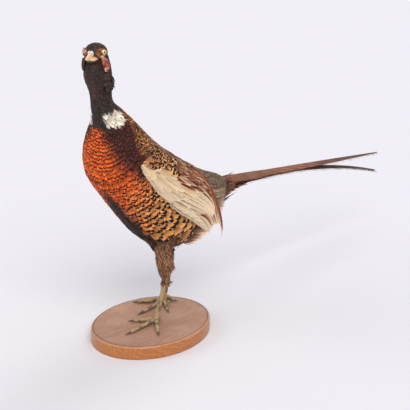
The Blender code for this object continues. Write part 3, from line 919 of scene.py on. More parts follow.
@finish(specular_ior_level=0.22)
def quill_finish(n):
    """Smooth long feathers of the wings."""
    return feather(n, 0.00016, Barbs=70.0, Bars=7.0, Ragged=0.10, Shade=0.10, Variety=0.14)


@finish(specular_ior_level=0.22, sheen_weight=0.05, sheen_roughness=0.4)
def tail_finish(n):
    """Barred tail feathers."""
    return feather(n, 0.00020, Barbs=260.0, Bars=17.0, Ragged=0.05, Shade=0.15, Variety=0.35)


@finish(specular_ior_level=0.45)
def skin_finish(n):
    """Grainy skin with papillae where it is bare and scales on the feet, in the tint of each point, with
    painted glints of light on the bare parts.
    """
    place = n.here()
    bare, scaly, along = n.parts("kind")
    grain = n.noise(place, 900.0, 4.0)
    colour = n.mix(1.0, n.attribute("tint"), n.shade(grain, 0.72, 1.28), "MULTIPLY")
    blotch = n.step(0.45, 0.62, n.noise(place, 160.0, 3.0)) * bare
    colour = n.mix(blotch, colour, n.mix(1.0, colour, (0.3, 0.22, 0.2), "MULTIPLY"))
    # painted highlight: small bright golden glints of light scattered over the bare skin
    painted_glint = n.step(0.50, 0.58, n.noise(place, 230.0, 2.0)) * bare * 0.85
    colour = n.mix(painted_glint, colour, n.mix(1.0, colour, (2.8, 3.6, 3.4), "MULTIPLY"))
    pits = n.cells(place, 1500.0, "F1")
    colour = n.mix(n.step(0.35, 0.75, pits) * bare, colour, (0.1, 0.02, 0.012))
    groove = n.step(0.55, 0.98, n.math("SINE", along * (2 * math.pi))) * scaly
    crack = (1.0 - n.step(0.0, 0.1, n.cells(place, 520.0, "DISTANCE_TO_EDGE"))) * scaly
    dark = n.math("MAXIMUM", groove, crack * 0.6)
    colour = n.mix(dark * 0.75, colour, (0.075, 0.048, 0.03))
    return {
        "Base Color": colour,
        "Roughness": n.shade(grain, 0.42, 0.72),
        "Normal": n.bump((1.0 - pits) * bare - dark + grain * 0.3, 0.0006),
    }


@finish(coat_roughness=0.25, subsurface_weight=0.08, subsurface_scale=0.002)
def bill_finish(n):
    """Horn of the bill: cream, greyer over the soft flap of the nostrils and pink at the root, with painted
    shade in the slits under the flaps and over the whole lower half, which lies in the upper half's shadow.
    """
    place = n.here()
    horn, flap, painted_shade = n.parts("kind")
    colour = n.mix(n.shade(n.noise(place, 300.0, 4.0), 0.0, 0.4), tone("bill"), (0.66, 0.38, 0.20))
    colour = n.mix(horn * 0.65, colour, (0.62, 0.27, 0.18))
    colour = n.mix(flap * 0.85, colour, (0.72, 0.72, 0.7))
    # painted shade: near black in the slits under the flaps and over the lower half
    colour = n.mix(painted_shade, colour, (0.05, 0.025, 0.02))
    grain = n.noise(place, 1400.0, 4.0)
    return {
        "Base Color": colour,
        "Roughness": n.shade(grain, 0.30, 0.50),
        "Coat Weight": n.shade(flap, 0.35, 0.0),
        "Normal": n.bump(grain + n.noise(place, 420.0, 2.0), 0.0002),
    }


@finish(roughness=0.08, coat_weight=1.0, coat_roughness=0.02)
def eye_finish(n):
    """Glass eye: pale gold iris with a dark rim round a small black pupil, under a clear coat."""
    off, turn, _ = n.parts("polar")
    rays = n.noise(n.joined(turn * 9.0, off * 2.0, 0.0), 3.0, 3.0)
    colour = n.mix(rays, tone("iris"), tone("iris") * (0.62, 0.45, 0.30))
    colour = n.mix(n.step(0.60, 0.80, off), colour, (0.09, 0.035, 0.012))
    colour = n.mix(1.0 - n.step(0.235, 0.275, off), colour, (0.002, 0.002, 0.002))
    return {"Base Color": colour}


@finish(coat_weight=0.2, coat_roughness=0.3)
def claw_finish(n):
    """Horn of claws and spurs: dark brown, paler at the root and streaked along."""
    streak = n.noise(n.here(), 700.0, 4.0)
    pale = tone("claw") * (3.4, 3.6, 3.4)
    return {
        "Base Color": n.mix(n.step(0.35, 0.75, streak), tone("claw"), pale),
        "Roughness": n.shade(streak, 0.32, 0.6),
        "Normal": n.bump(streak, 0.00015),
    }


@once
def wood_group():
    """Wood grain running along Y, with growth rings warped by figure, and fine pores."""
    inputs = {name: (COLOUR, (0.5, 0.3, 0.2, 1)) for name in ("Light", "Dark")}
    inputs["Contrast"] = (NUMBER, 0.6)
    outputs = {"Color": COLOUR, "Height": NUMBER, "Wear and highlight": NUMBER}
    tree, n, given, made = new_group("wood_group", inputs, outputs)
    x, y, z = n.parts(n.here())
    figure = n.noise(n.joined(x, y * 0.22, z), 26.0, 3.0)
    rings = n.math("FRACT", x * 130.0 + figure * 9.0 + z * 50.0)
    band = n.step(0.0, 0.75, rings) * (1.0 - n.step(0.85, 1.0, rings))
    fibre = n.noise(n.joined(x * 30.0, y, z * 30.0), 60.0, 4.0)
    pore = n.step(0.6, 0.75, n.noise(n.joined(x * 45.0, y, z * 45.0), 110.0, 1.0))
    dark = n.math("MULTIPLY", band * 0.55 + fibre * 0.6, given["Contrast"], True)
    colour = n.mix(dark, given["Light"], given["Dark"])
    n.put(made["Color"], n.mix(pore * 0.45, colour, given["Dark"]))
    n.put(made["Height"], fibre * 0.6 - pore)
    n.put(made["Wear and highlight"], n.noise(n.here(), 34.0, 4.0, 0.65))
    return tree


@finish(coat_roughness=0.22)
def base_finish(n):
    """Varnished wood: a matt dusty top, and a warm glossier edge with a paler band over its rounded rim,
    partly the top's mauve finish and partly a painted highlight.
    """
    top, side = tone("wood_top"), tone("wood_side")
    kind, rim, groove = n.parts("kind")
    over = group_node(n, wood_group(), {"Light": top, "Dark": (0.27, 0.115, 0.060), "Contrast": 0.6})
    edge = group_node(n, wood_group(), {"Light": side, "Dark": (0.30, 0.090, 0.020), "Contrast": 0.70})
    dusty = n.mix(n.step(0.35, 0.75, over["Wear and highlight"]), over["Color"], (0.52, 0.345, 0.26))
    colour = n.mix(kind, edge["Color"], n.mix(0.45, over["Color"], dusty))
    # paler band over the rounded rim: partly the top's mauve finish, partly a painted highlight, patchy by
    # the noise
    colour = n.mix(rim * n.shade(edge["Wear and highlight"], 0.2, 0.9), colour, (0.5, 0.29, 0.2))
    colour = n.mix(groove * 0.8, colour, (0.07, 0.028, 0.012))
    return {
        "Base Color": colour,
        "Roughness": n.shade(kind, 0.36, 0.62) + n.shade(edge["Wear and highlight"], -0.08, 0.08),
        "Coat Weight": n.shade(kind, 0.2, 0.0),
        "Normal": n.bump(edge["Height"], 0.00022),
    }


@finish(specular_ior_level=0.1)
def floor_finish(n):
    """Plain pale floor with a trace of unevenness."""
    cloud = n.noise(n.here(), 3.0, 3.0)
    return {
        "Base Color": n.mix(cloud, (0.705, 0.70, 0.735), (0.69, 0.685, 0.72)),
        "Roughness": n.shade(cloud, 0.8, 0.95),
    }


# ---------------------------------------------------------------- skin and bare parts


BODY_NODES = ("rump", "trunk", "neck", "undertail", "wing_left", "wing_right", "thigh_left", "thigh_right")
NECK_CUT = 0.4735  # height at which the body's skin ends inside the head's
EYE = (0.0035, 0.0127, 0.0024)  # forward, to the side and up, in the head's frame
EYE_RADIUS = 0.0057
FACE = (0.0060, 0.0130, 0.0015, 0.0085)  # the bare patch: forward and its reach, up and its reach


def sunk(shape, depth):
    """Draws a closed surface inwards by a depth given at each point, less where the body is thin."""
    shape.normal_update()
    tree = BVHTree.FromBMesh(shape)
    moves = []
    for vertex in shape.verts:
        want = depth(vertex.co)
        hit = tree.ray_cast(vertex.co - vertex.normal * 2e-5, -vertex.normal, max(want, 1e-5) * 4)
        moves.append(vertex.normal * (min(want, hit[3] * 0.35) if hit[3] else want))
    for vertex, move in zip(shape.verts, moves):
        vertex.co -= move
    return shape


def bareness(point):
    """1 on the bare skin of the face, 0 among feathers."""
    f, side, u = in_head(point)
    if f < -0.02 or abs(side) < 0.004:
        return 0.0
    off = ((f - FACE[0]) / FACE[1]) ** 2 + ((u - FACE[2]) / FACE[3]) ** 2
    return 1 - ramp(0.75, 1.05, off + noise.noise(point * 400) * 0.15)


WATTLES = []


def wattled(point):
    """1 on the lobes below the eyes."""
    if not WATTLES:
        for side in SIDES:
            shape = node_shape("wattle_" + side)
            WATTLES.append(BVHTree.FromBMesh(shape))
            shape.free()
    return 1 - ramp(0.0006, 0.0016, min(tree.find_nearest(point)[3] for tree in WATTLES))


def head_depth(point):
    """How deep the head's skin lies under its feathers."""
    f, _, u = in_head(point)
    off = math.hypot(f - EYE[0], u - EYE[2])
    hollow = 0.0018 * bareness(point) * ramp(0.0056, 0.0070, off) * (1 - ramp(0.0092, 0.012, off))
    deep = sizes().head_coat + (0.0015 * (1 - ramp(-0.022, -0.010, u)) if f < 0.008 else 0)
    return deep * (1 - max(bareness(point), wattled(point))) + hollow


def ring_shape(radius, tube, where):
    """A ring as a bmesh, its axis turned along Z by where."""
    ring = bmesh.new()
    bmesh.ops.create_circle(ring, segments=12, radius=tube)
    turn = Matrix.Translation((radius, 0, 0)) @ Matrix.Rotation(math.pi / 2, 4, "X")
    bmesh.ops.transform(ring, matrix=turn, verts=ring.verts)
    bmesh.ops.spin(
        ring, geom=ring.verts[:] + ring.edges[:], cent=(0, 0, 0), axis=(0, 0, 1), angle=2 * math.pi,
        steps=40, use_merge=True,
    )
    bmesh.ops.transform(ring, matrix=where, verts=ring.verts)
    bmesh.ops.recalc_face_normals(ring, faces=ring.faces)
    return ring


def eye_matrix(side, out=0.0):
    """Puts a shape that points along Z at an eye, looking out of the head and a little ahead."""
    middle = head_point(EYE[0], side * EYE[1], EYE[2])
    look = (HEAD_TURN @ Vector((side, -0.86 if side > 0 else -0.20, 0.06))).normalized()
    return Matrix.Translation(middle + look * out) @ look.to_track_quat("Z", "Y").to_matrix().to_4x4()


def added(shape, other):
    """Puts another bmesh's faces into a shape."""
    mesh = mesh_of(other)
    shape.from_mesh(mesh)
    bpy.data.meshes.remove(mesh)


def plug(shape, start, end, radius):
    """A round peg that joins two parts inside them."""
    line = end - start
    where = Matrix.Translation((start + end) / 2) @ line.to_track_quat("Z", "Y").to_matrix().to_4x4()
    peg = bmesh.new()
    bmesh.ops.create_cone(
        peg, cap_ends=True, segments=24, radius1=radius, radius2=radius, depth=line.length, matrix=where
    )
    added(shape, peg)


def united(shapes):
    """One closed surface round several overlapping ones."""
    pieces = [new_object("part", mesh_of(shape)) for shape in shapes]
    for other in pieces[1:]:
        union = pieces[0].modifiers.new("union", "BOOLEAN")
        union.operation = "UNION"
        union.solver = "MANIFOLD"
        union.object = other
    return shape_of(*pieces)


LEGS = {
    1: (Vector((0.0210, 0.0180, 0.1900)) + BIRD_AT, Vector((0.0200, 0.0300, 0.0930)) + BIRD_AT),
    -1: (Vector((-0.0260, 0.0560, 0.1900)) + BIRD_AT, Vector((-0.0205, 0.0850, 0.0930)) + BIRD_AT),
}


def foot_places(points):
    """For points of the feet: how far each lies along its own shank or toe, in metres."""
    trees = []
    for side in SIDES:
        for part in FEET:
            shape = node_shape(f"{part}_{side}")
            where = np.array([vertex.co[:] for vertex in shape.verts])
            middle = where.mean(axis=0)
            axis = np.linalg.svd(where - middle, full_matrices=False)[2][0]
            trees.append((BVHTree.FromBMesh(shape), Vector(middle), Vector(axis), part))
            shape.free()
    places = []
    for point in points:
        best = min(trees, key=lambda item: item[0].find_nearest(point)[3])
        places.append(((point - best[1]).dot(best[2]), best[3]))
    return places


# Heights below which the skin is looked at as the feet's and up to which it has scales, and above which it
# has the neck's tint and may belong to the head's bare parts.
FEET_HIGH, SCALES_HIGH, NECK_LOW, HEAD_LOW = 0.115, 0.097, 0.40, 0.44
SHANK_PITCH, TOE_PITCH = 0.0026, 0.0021  # lengths of the scales
LID_RADIUS, LID_THICK, LID_OUT = 0.0052, 0.0009, 0.0030
PEG_RADIUS = 0.0032
GROW = 0.0003  # how far solids swell before they are joined, so that none stays apart
SCALE_DUST = (0.13, 0.11, 0.08)
FACE_PINK, FOLD_PINK, LOBE_PALE = (0.50, 0.25, 0.17), (0.50, 0.20, 0.17), (0.74, 0.40, 0.26)


class PHEASANT_OT_skin(bpy.types.Operator):
    """Makes one skin of all the solids of flesh, inside them by the depth of the coat"""

    bl_idname = "pheasant.skin"
    bl_label = "Skin"

    def execute(self, context):
        whole = united([self.body(sizes()), self.head(sizes()), self.feet(sizes())])
        whole.normal_update()
        low = [vertex for vertex in whole.verts if vertex.co.z < FEET_HIGH]
        places = dict(zip((vertex.index for vertex in low), foot_places([vertex.co for vertex in low])))
        marks = []
        for vertex in whole.verts:
            if vertex.index in places and vertex.co.z < SCALES_HIGH:
                marks.append(self.scale(vertex, *places[vertex.index]))
            else:
                marks.append(self.flesh(vertex.co))
        tints, kinds = zip(*marks)
        nodes = [f"{part}_{side}" for side in SIDES for part in FEET + ("wattle", "wing", "thigh")]
        nodes = ["rump", "trunk", "neck", "head", "undertail", *nodes]
        finish_shape("bird_skin", whole, {"tint": tints, "kind": kinds}, skin_finish(), "plumage", *nodes)
        return {"FINISHED"}

    def body(self, s):
        """Body, neck, wings' beds and thighs, up to the head."""
        body = remeshed(node_shape("head", *BODY_NODES), s.body_voxel, GROW)
        sunk(body, lambda point: s.coat - 0.0012 * ramp(NECK_LOW, HEAD_LOW, point.z))
        cut = bmesh.ops.bisect_plane(
            body, geom=body.verts[:] + body.edges[:] + body.faces[:], plane_co=(0, 0, NECK_CUT),
            plane_no=(0, 0, 1), clear_outer=True,
        )
        rim = [item for item in cut["geom_cut"] if isinstance(item, bmesh.types.BMEdge)]
        bmesh.ops.holes_fill(body, edges=rim)
        return body

    def head(self, s):
        """The head with its lobes and eyelids, and papillae on its bare parts."""
        head = node_shape("head", "wattle_left", "wattle_right")
        for side in SIDES.values():
            added(head, ring_shape(LID_RADIUS, LID_THICK, eye_matrix(side, LID_OUT)))
        head = sunk(remeshed(head, s.head_voxel, GROW, rounds=1), head_depth)
        for vertex in head.verts:
            bare = bareness(vertex.co)
            lobe = wattled(vertex.co)
            rough = noise.noise(vertex.co * 750) * 0.6 + noise.noise(vertex.co * 1700) * 0.4
            vertex.co += vertex.normal * rough * (0.00045 * bare + 0.0004 * lobe)
        return head

    def feet(self, s):
        """Shanks, pads and toes, with pegs that reach up into the thighs."""
        feet = node_shape(*(f"{part}_{side}" for side in SIDES for part in FEET))
        for hip, ankle in LEGS.values():
            plug(feet, ankle - (hip - ankle) * 0.03, ankle.lerp(hip, 0.18), PEG_RADIUS)
        return remeshed(feet, s.foot_voxel, 0.0002, rounds=1)

    def scale(self, vertex, along, part):
        """Lifts a point of a foot by its scale, and gives its tint, with painted light and shade on the toes,
        and kind.
        """
        along = along / (SHANK_PITCH if part == "shank" else TOE_PITCH)
        gap = max(math.sin(along * 2 * math.pi), 0) ** 3
        vertex.co += vertex.normal * (0.00045 - 0.00030 * gap)
        dull = ramp(0.0, 0.35, noise.noise(vertex.co * 130)) * 0.75
        # painted light and shade: toes are paler where they face up and darker beneath, and the shanks get
        # one middle value
        painted_light = 0.45 + 0.75 * ramp(-0.3, 0.7, vertex.normal.z if part != "shank" else 0.45)
        light = tone("leg") * (0.72 if part == "pad" else 1.1) * (1 - dull) * painted_light
        return light + np.array(SCALE_DUST) * dull, (0, 1, along)

    def flesh(self, point):
        """The tint and kind of a point of the skin above the feet, with painted shade on the front of the
        right lobe.
        """
        lobe, bare = (wattled(point), bareness(point)) if point.z > HEAD_LOW else (0, 0)
        tint = tone("neck") * 0.8 if point.z > NECK_LOW else tone("down") * 0.5
        if not (bare or lobe):
            return tint, (0, 0, 0)
        ahead, left, level = in_head(point)
        face = tone("face") if left > 0 else tone("face") * 0.3 + np.array(FACE_PINK) * 0.7
        tint = tint * (1 - bare) + face * bare
        red = tone("wattle")
        pale = max(ramp(-0.0095, -0.0055, level), 1 - ramp(-0.0215, -0.0175, level))
        lobe_tint = red + (np.array(LOBE_PALE) - red) * pale
        # painted shade: the right lobe darkens to near black towards its front, where the neck's shadow falls
        # on it
        if left < 0:
            lobe_tint = lobe_tint * (1 - 0.94 * ramp(0.0005, 0.0045, ahead))
        fold = ramp(-0.0085, -0.0060, level) * ramp(-0.0015, -0.0040, level) * ramp(0.004, 0.008, ahead)
        tint = tint + (np.array(FOLD_PINK) - tint) * fold * bare * 0.8
        return tint * (1 - lobe) + lobe_tint * lobe, (max(bare, lobe), 0, 0)


class PHEASANT_OT_eyes(bpy.types.Operator):
    """Makes the glass eyes with a pale iris and a small pupil"""

    bl_idname = "pheasant.eyes"
    bl_label = "Eyes"

    def execute(self, context):
        for name, side in SIDES.items():
            ball = bmesh.new()
            bmesh.ops.create_uvsphere(ball, u_segments=64, v_segments=48, radius=EYE_RADIUS)
            polar = []
            for vertex in ball.verts:
                x, y, z = vertex.co / EYE_RADIUS
                polar.append((math.hypot(x, y) if z > 0 else 1, math.atan2(y, x) / (2 * math.pi), 0))
                vertex.co.z += 0.0003 * max(z, 0) ** 8
            bmesh.ops.transform(ball, matrix=eye_matrix(side), verts=ball.verts)
            marks = {"polar": polar}
            finish_shape("glass_eye_" + name, ball, marks, eye_finish(), "eye_glass", "eye_" + name)
        return {"FINISHED"}


HORN_MESH = (0.00042, 0.0001)  # mesh size of bill and claws, and how far they grow first


class PHEASANT_OT_bill(bpy.types.Operator):
    """Makes both halves of the bill, with the soft flaps over the nostrils"""

    bl_idname = "pheasant.bill"
    bl_label = "Bill"

    def execute(self, context):
        for name in ("bill_upper", "bill_lower"):
            shape = remeshed(node_shape(name), *HORN_MESH)
            kinds = []
            for vertex in shape.verts:
                f, side, u = in_head(vertex.co)
                flap = painted_shade = 0.0
                if name == "bill_upper":
                    off = math.hypot((f - 0.0185) / 0.0070, (u - 0.0040) / 0.0046)
                    flap = (1 - ramp(0.55, 1.0, off)) * ramp(0.0004, 0.0018, abs(side))
                    # the slit under each flap gets painted shade
                    off = math.hypot((f - 0.0215) / 0.0040, (u + 0.0022) / 0.0007)
                    painted_shade = (1 - ramp(0.5, 1.1, off)) * ramp(0.002, 0.0035, abs(side))
                    ridge = ramp(-0.0065, 0.0040, u + 12 * max(f - 0.018, 0) ** 1.6)
                    arch = 0.0016 * ramp(0.026, 0.040, f)
                    gape = ramp(0.030, 0.019, f) * ramp(-0.0015, -0.0065, u)
                    inward = side * (0.66 * ridge * (1 - 0.25 * flap) - 0.34 * gape)
                    back = -0.0045 * gape * ramp(0.023, 0.019, f)
                    vertex.co -= HEAD_TURN @ Vector((inward, back, -arch + 0.0006 * gape))
                    swell = 0.0010 * flap - 0.0005 * painted_shade
                    vertex.co += vertex.normal * swell + Vector((0, 0, 0.0012 * flap))
                else:
                    # painted shade: the lower half is painted nearly black, as it lies in the upper half's
                    # shadow
                    painted_shade = 0.96
                    vertex.co -= HEAD_TURN @ Vector((side * 0.25, -0.0022, -0.0010))
                pink = max(1 - ramp(0.020, 0.032, f), 0.85 * ramp(0.0, -0.003, side))
                kinds.append((pink * ramp(-0.0075, -0.0045, u), flap, painted_shade))
            finish_shape(name + "_horn", shape, {"kind": kinds}, bill_finish(), "bill_horn", name)
        return {"FINISHED"}


class PHEASANT_OT_claws(bpy.types.Operator):
    """Makes the claws of all toes and the spur of each shank"""

    bl_idname = "pheasant.claws"
    bl_label = "Claws and spurs"

    def execute(self, context):
        toes = [f"claw_{toe}_{side}" for toe in ("inner", "middle", "outer", "hind") for side in SIDES]
        spurs = ["spur_" + side for side in SIDES]
        for name, nodes in (("claws", toes), ("spurs", spurs)):
            shape = remeshed(node_shape(*nodes), *HORN_MESH)
            finish_shape(name, shape, {}, claw_finish(), "claw_horn", *nodes)
        return {"FINISHED"}


# ---------------------------------------------------------------- coats


def size_table(*rows):
    """A function that gives a tract's sizes at a place, from rows of place, pitch, breadth, length, lift."""
    places, *columns = zip(*rows)

    def size(t, angle):
        return Size(*(float(np.interp(t, places, column)) for column in columns))

    return size


BODY_SIZE = size_table(
    (0.0, 4.5, 5.5, 15, 1.4),
    (1.0, 4.8, 6.0, 18, 1.6),
    (2.0, 9.0, 10.0, 27, 2.6),
    (3.0, 14.5, 14.5, 38, 3.6),
    (4.0, 13.0, 14.5, 36, 3.6),
    (5.0, 8.8, 11.0, 27, 3.2),
    (6.0, 5.8, 7.6, 20, 3.0),
    (7.0, 4.5, 6.2, 16, 2.6),
    (8.0, 3.9, 5.6, 13, 2.4),
    (9.0, 3.6, 5.4, 12, 2.2),
    (9.6, 3.6, 6.0, 13, 2.4),
    (10.2, 2.9, 4.2, 10, 1.9),
    (12.4, 2.2, 3.2, 6.5, 1.3),
)


def body_size(t, angle):
    """The sizes of the body's feathers, larger over the mantle and back."""
    size = BODY_SIZE(t, angle)
    top = 1 - ramp(62, 84, degrees_off_back(angle))
    more = 1 + 0.75 * ramp(4.4, 5.2, t) * (1 - ramp(8.6, 9.4, t)) * top
    return size._replace(wide=size.wide * more, long=size.long * (1 + (more - 1) * 0.6))


def under_wing(t, angle):
    """Whether the folded wing covers the body there, some way in from the wing's edges."""
    if not 2.9 < t < 6.5:
        return False
    places, uppers, lowers = zip(*sorted(row[:3] for row in WING))
    upper, lower = np.interp(t, places, uppers), np.interp(t, places, lowers)
    return upper + 9 < degrees_off_back(angle) < lower - 7


def off_limb(t, angle, point):
    """Whether a point of the skin is on the body itself, and not out on a wing or a thigh."""
    middle = body_frame(t)[0]
    return (point - middle).length < (body_point(t, angle) - middle).length + 0.005


# The tracts of the body: form of their feathers, first and last place, seed, and the angles off the back
# between which they grow.
TRACTS = {
    "neck_coat": (ROUND, (12.7, 9.1), 11, (0, 180)),
    "breast_coat": (ROUND, (9.2, 5.9), 12, (0, 180)),
    "flank_coat": (BLUNT, (6.0, 2.3), 13, (60, 180)),
    "back_coat": (ROUND, (6.0, 3.3), 14, (0, 60)),
    "rump_coat": (HAIRY, (3.9, 0.15), 15, (0, 98)),
    "vent_coat": (FLUFFY, (2.6, 0.10), 16, (88, 180)),
}
SHORT_FEATHERS = 11.5  # place beyond which the head's shape counts as the body
COVERT_ROWS, COVERTS_ROUND = 9, 44  # rows of coverts round the tail's root, and how many go all round
TONGUE_COUNT = 420


class PHEASANT_OT_body_coat(bpy.types.Operator):
    """Covers neck, breast, back, flanks, rump and vent with rows of feathers"""

    bl_idname = "pheasant.body_coat"
    bl_label = "Body feathers"

    def execute(self, context):
        ground = Ground(bpy.data.objects["bird_skin"], body_ray)
        table = looks()

        def look(t, angle, point):
            return body_look(table, t, angle, point)

        for name, (form, span, seed, (least, most)) in TRACTS.items():
            coat = Coat(form)

            def keep(t, angle, point):
                if under_wing(t, angle) or not least <= degrees_off_back(angle) <= most:
                    return False
                return t > SHORT_FEATHERS or off_limb(t, angle, point)

            scatter(coat, ground, span, body_size, look, np.random.default_rng(seed), keep)
            coat.piece(name)
        self.fluff(ground, table)
        return {"FINISHED"}

    def fluff(self, ground, table):
        """Long loose tufts that stand out round the vent, the sides of the rump and the nape's ruffle."""
        rng = np.random.default_rng(FLUFF_SEED)
        coat = Coat(FLUFFY)
        size = size_table(
            (0.2, 4.5, 2.2, 13, 1.5),
            (1.5, 4.5, 2.4, 19, 4.0),
            (2.2, 4.8, 2.6, 29, 12),
            (3.0, 5.5, 2.6, 29, 12),
            (10.5, 3.2, 6, 11, 5.5),
            (12, 3, 6, 11, 5.5),
        )

        def look(t, angle, point):
            if t > 9:
                purple = table["neck"]._replace(ground=table["neck"].ground * (1.15, 1.0, 1.3))
                dark = purple._replace(ground=purple.ground * 0.3, centre=purple.centre * 0.3)
                return mixed(dark, purple, ramp(11.42, 11.58, t))
            pale = rng.uniform(0.8, 1.8)
            cream = np.array((0.62, 0.47, 0.32)) * rng.uniform(0, 1.0) ** 1.5
            cream *= 0.12 + 0.88 * ramp(1.5, 2.1, t)
            dull = ramp(70, 115, degrees_off_back(angle))
            mix = mixed(table["rump"], mixed(table["undertail"], table["fluff"], ramp(1.3, 2.1, t)), dull)
            return mix._replace(ground=mix.ground * pale + cream * 0.6, edge=mix.edge * pale + cream)

        def vent(t, angle, point):
            return 62 < degrees_off_back(angle) < 150 and rng.uniform() < 0.9 and off_limb(t, angle, point)

        def ruffle(t, angle, point):
            return 35 < math.degrees(angle) < 115 and rng.uniform() < 0.85

        scatter(coat, ground, (3.0, 0.3), size, look, rng, vent)
        coat.piece("fluff_coat")
        coat = Coat(ROUND)
        scatter(coat, ground, (11.80, 11.38), size, look, rng, ruffle)
        coat.piece("ruffle_coat")
        self.tail_coverts(ground)

    def tail_coverts(self, ground):
        """Long loose feathers that run from the rump's end out along the sides and underside of the tail."""
        rng = np.random.default_rng(TAIL_COVERTS_SEED)
        coat = Coat(HAIRY, 2, 6)
        olive = np.array((0.105, 0.085, 0.040))
        tail = Vector((0, 0.99, -0.13))
        for row in range(COVERT_ROWS):
            for k in range(COVERTS_ROUND):
                degrees = (k + 0.5 * (row % 2)) * 360 / COVERTS_ROUND - 180 + rng.uniform(-3, 3)
                t = 0.95 - 0.10 * row + rng.uniform(-0.05, 0.05)
                chance = rng.uniform(0, 1, 3)
                angle = math.radians(degrees)
                point, out, lean = ground.footing(t, angle)
                if abs(degrees) < 64 or lean is None or not off_limb(t, angle, point):
                    continue
                along = (tail + lean * (0.5 + 0.5 * chance[1])).normalized()
                out = tangent(along, out)
                ground_tone = tone("rust") * 1.1 if chance[0] < 0.4 else olive * (0.2 + 0.8 * chance[0])
                look = Look(ground_tone, ground_tone * 1.8, tone("black"), 0.15, 0.12, 0.0, 0.2)
                size = (0.036 + 0.026 * chance[2], 0.0044)
                place = (degrees / 360 + 0.5, 0.02 + 0.05 * t)
                coat.add(point - out * 0.001, along, out, size, (0.001, 0), place, look, chance[1])
        self.tongue(coat, rng, olive)
        coat.piece("tail_coverts_coat")

    def tongue(self, coat, rng, olive):
        """The coverts that reach out below the tail, laid on the form of their own solid."""
        points = vertices_of(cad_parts["undertail"].data)
        middle = points.mean(axis=0)
        end = points[:, 1].max()
        sandy = np.array((0.40, 0.27, 0.16))
        kinds = (tone("rust") * 1.1, olive * 0.45, olive * 1.1, sandy, tone("black") * 2)
        for _ in range(TONGUE_COUNT):
            point = points[rng.integers(len(points))] + rng.uniform(-0.0015, 0.0015, 3)
            long = min(rng.uniform(0.014, 0.034), end + 0.012 * rng.uniform(-0.4, 1) - point[1])
            if long < 0.007:
                continue
            out = Vector((point[0] - middle[0], 0.0, point[2] - middle[2])) * 100 + Vector((0, 0, -0.15))
            along = Vector((out.x * 0.05, 0.99, -0.06 + 0.05 * out.z + rng.normal() * 0.05)).normalized()
            out = tangent(along, out)
            shade = kinds[rng.integers(len(kinds))] * rng.uniform(0.6, 1.1)
            look = Look(shade, shade * 1.7, tone("black"), 0.15, 0.12, 0.0, 0.2)
            place = (0.5 + rng.uniform(-0.4, 0.4), 0.01 + 0.02 * rng.uniform())
            size = (long, rng.uniform(0.0022, 0.0042))
            coat.add(Vector(point), along, out, size, (0.0006, 0), place, look, rng.uniform(0, 1))


HEAD_COAT_LOW, HEAD_SPACING = 0.455, 0.00135  # height above which the head's feathers grow, and how close


class PHEASANT_OT_head_coat(bpy.types.Operator):
    """Covers the head with small feathers that lie back from the bill round the bare face"""

    bl_idname = "pheasant.head_coat"
    bl_label = "Head feathers"

    def execute(self, context):
        skin = bpy.data.objects["bird_skin"]
        rng = np.random.default_rng(HEAD_SEED)

        def inside(point):
            if point.z < HEAD_COAT_LOW:
                return False
            f, side, u = in_head(point)
            eye = math.hypot(f - EYE[0], u - EYE[2])
            beside_lid = abs(side) > 0.008 and eye <= (0.0064 if abs(side) < 0.0140 else 0.0105)
            return bareness(point) < 0.5 and wattled(point) < 0.4 and not beside_lid

        coat = Coat(ROUND)
        back, down = HEAD_TURN @ Vector((0, 1, 0)), Vector((0, 0, -1))
        neck, green, black = tone("neck"), tone("green"), tone("black")
        for point, out in sown(skin, inside, HEAD_SPACING, rng):
            f, side, u = in_head(point)
            fall = 0.12 + 0.9 * (1 - ramp(-0.020, -0.004, f)) + 0.5 * (1 - ramp(-0.016, -0.006, u))
            along = tangent(out, back + down * fall + out * 0.001)
            if along is None:
                continue
            root = ramp(0.006, 0.018, f)
            edge = 1 - ramp(1.0, 1.35, math.hypot((f - FACE[0]) / FACE[1], (u - FACE[2]) / FACE[3]))
            brow = 1 - ramp(0.0075, 0.0110, math.hypot(f - EYE[0], u - EYE[2]))
            size = (0.0052 - 0.0024 * root - 0.0014 * edge - 0.0012 * brow) * rng.uniform(0.85, 1.15)
            crown = ramp(0.004, 0.011, u)
            ground = neck * (0.75 + 0.25 * crown) + (green - neck) * 0.3 * (1 - crown)
            speck = np.array((0.16, 0.10, 0.045)) if rng.uniform() < 0.34 * crown + 0.05 else ground
            look = Look(speck, green * 0.7, black, 0.25, 0.2, 0.0, 0.5)
            turn = math.atan2(side, u) / (2 * math.pi) + 0.5
            place = (0.05 + 0.9 * turn, 0.05 + 0.9 * (f + 0.03) / 0.06)
            lift = (0.0010, -0.18 * size)
            coat.add(point, along, out, (size, size * 0.42), lift, place, look, rng.uniform(0, 1))
        coat.piece("head_coat")
        return {"FINISHED"}


THIGH_REACH = 0.045  # distance from a leg's middle line within which its thigh lies


class PHEASANT_OT_thigh_coat(bpy.types.Operator):
    """Covers the thighs with loose feathers that lie down to the shanks"""

    bl_idname = "pheasant.thigh_coat"
    bl_label = "Thigh feathers"

    def execute(self, context):
        skin = bpy.data.objects["bird_skin"]
        table = looks()
        coat = Coat(POINTED)
        size = size_table((0.0, 1.8, 2.6, 10, 3.6), (0.3, 2.6, 3.4, 15, 4.8), (1.0, 4.2, 5.6, 19, 4.0))
        rng = np.random.default_rng(THIGH_SEED)
        for hip, ankle in LEGS.values():
            line = hip - ankle
            turn = line.normalized().to_track_quat("Z", "Y").to_matrix()

            def ray(t, angle):
                return ankle + line * t, turn @ Vector((math.sin(angle), math.cos(angle), 0))

            def look(t, angle, point):
                dark = ramp(0.66, 0.92, t + noise.noise(point * 90) * 0.2)
                pale = rng.uniform(0.6, 1.7)
                look = mixed(table["vent"], table["belly"], dark * 0.5)
                return look._replace(ground=look.ground * pale, edge=look.edge * pale)

            scatter(coat, Ground(skin, ray, THIGH_REACH), (0.92, -0.04), size, look, rng)
        coat.piece("thigh_coat")
        return {"FINISHED"}


# ---------------------------------------------------------------- wings and tail


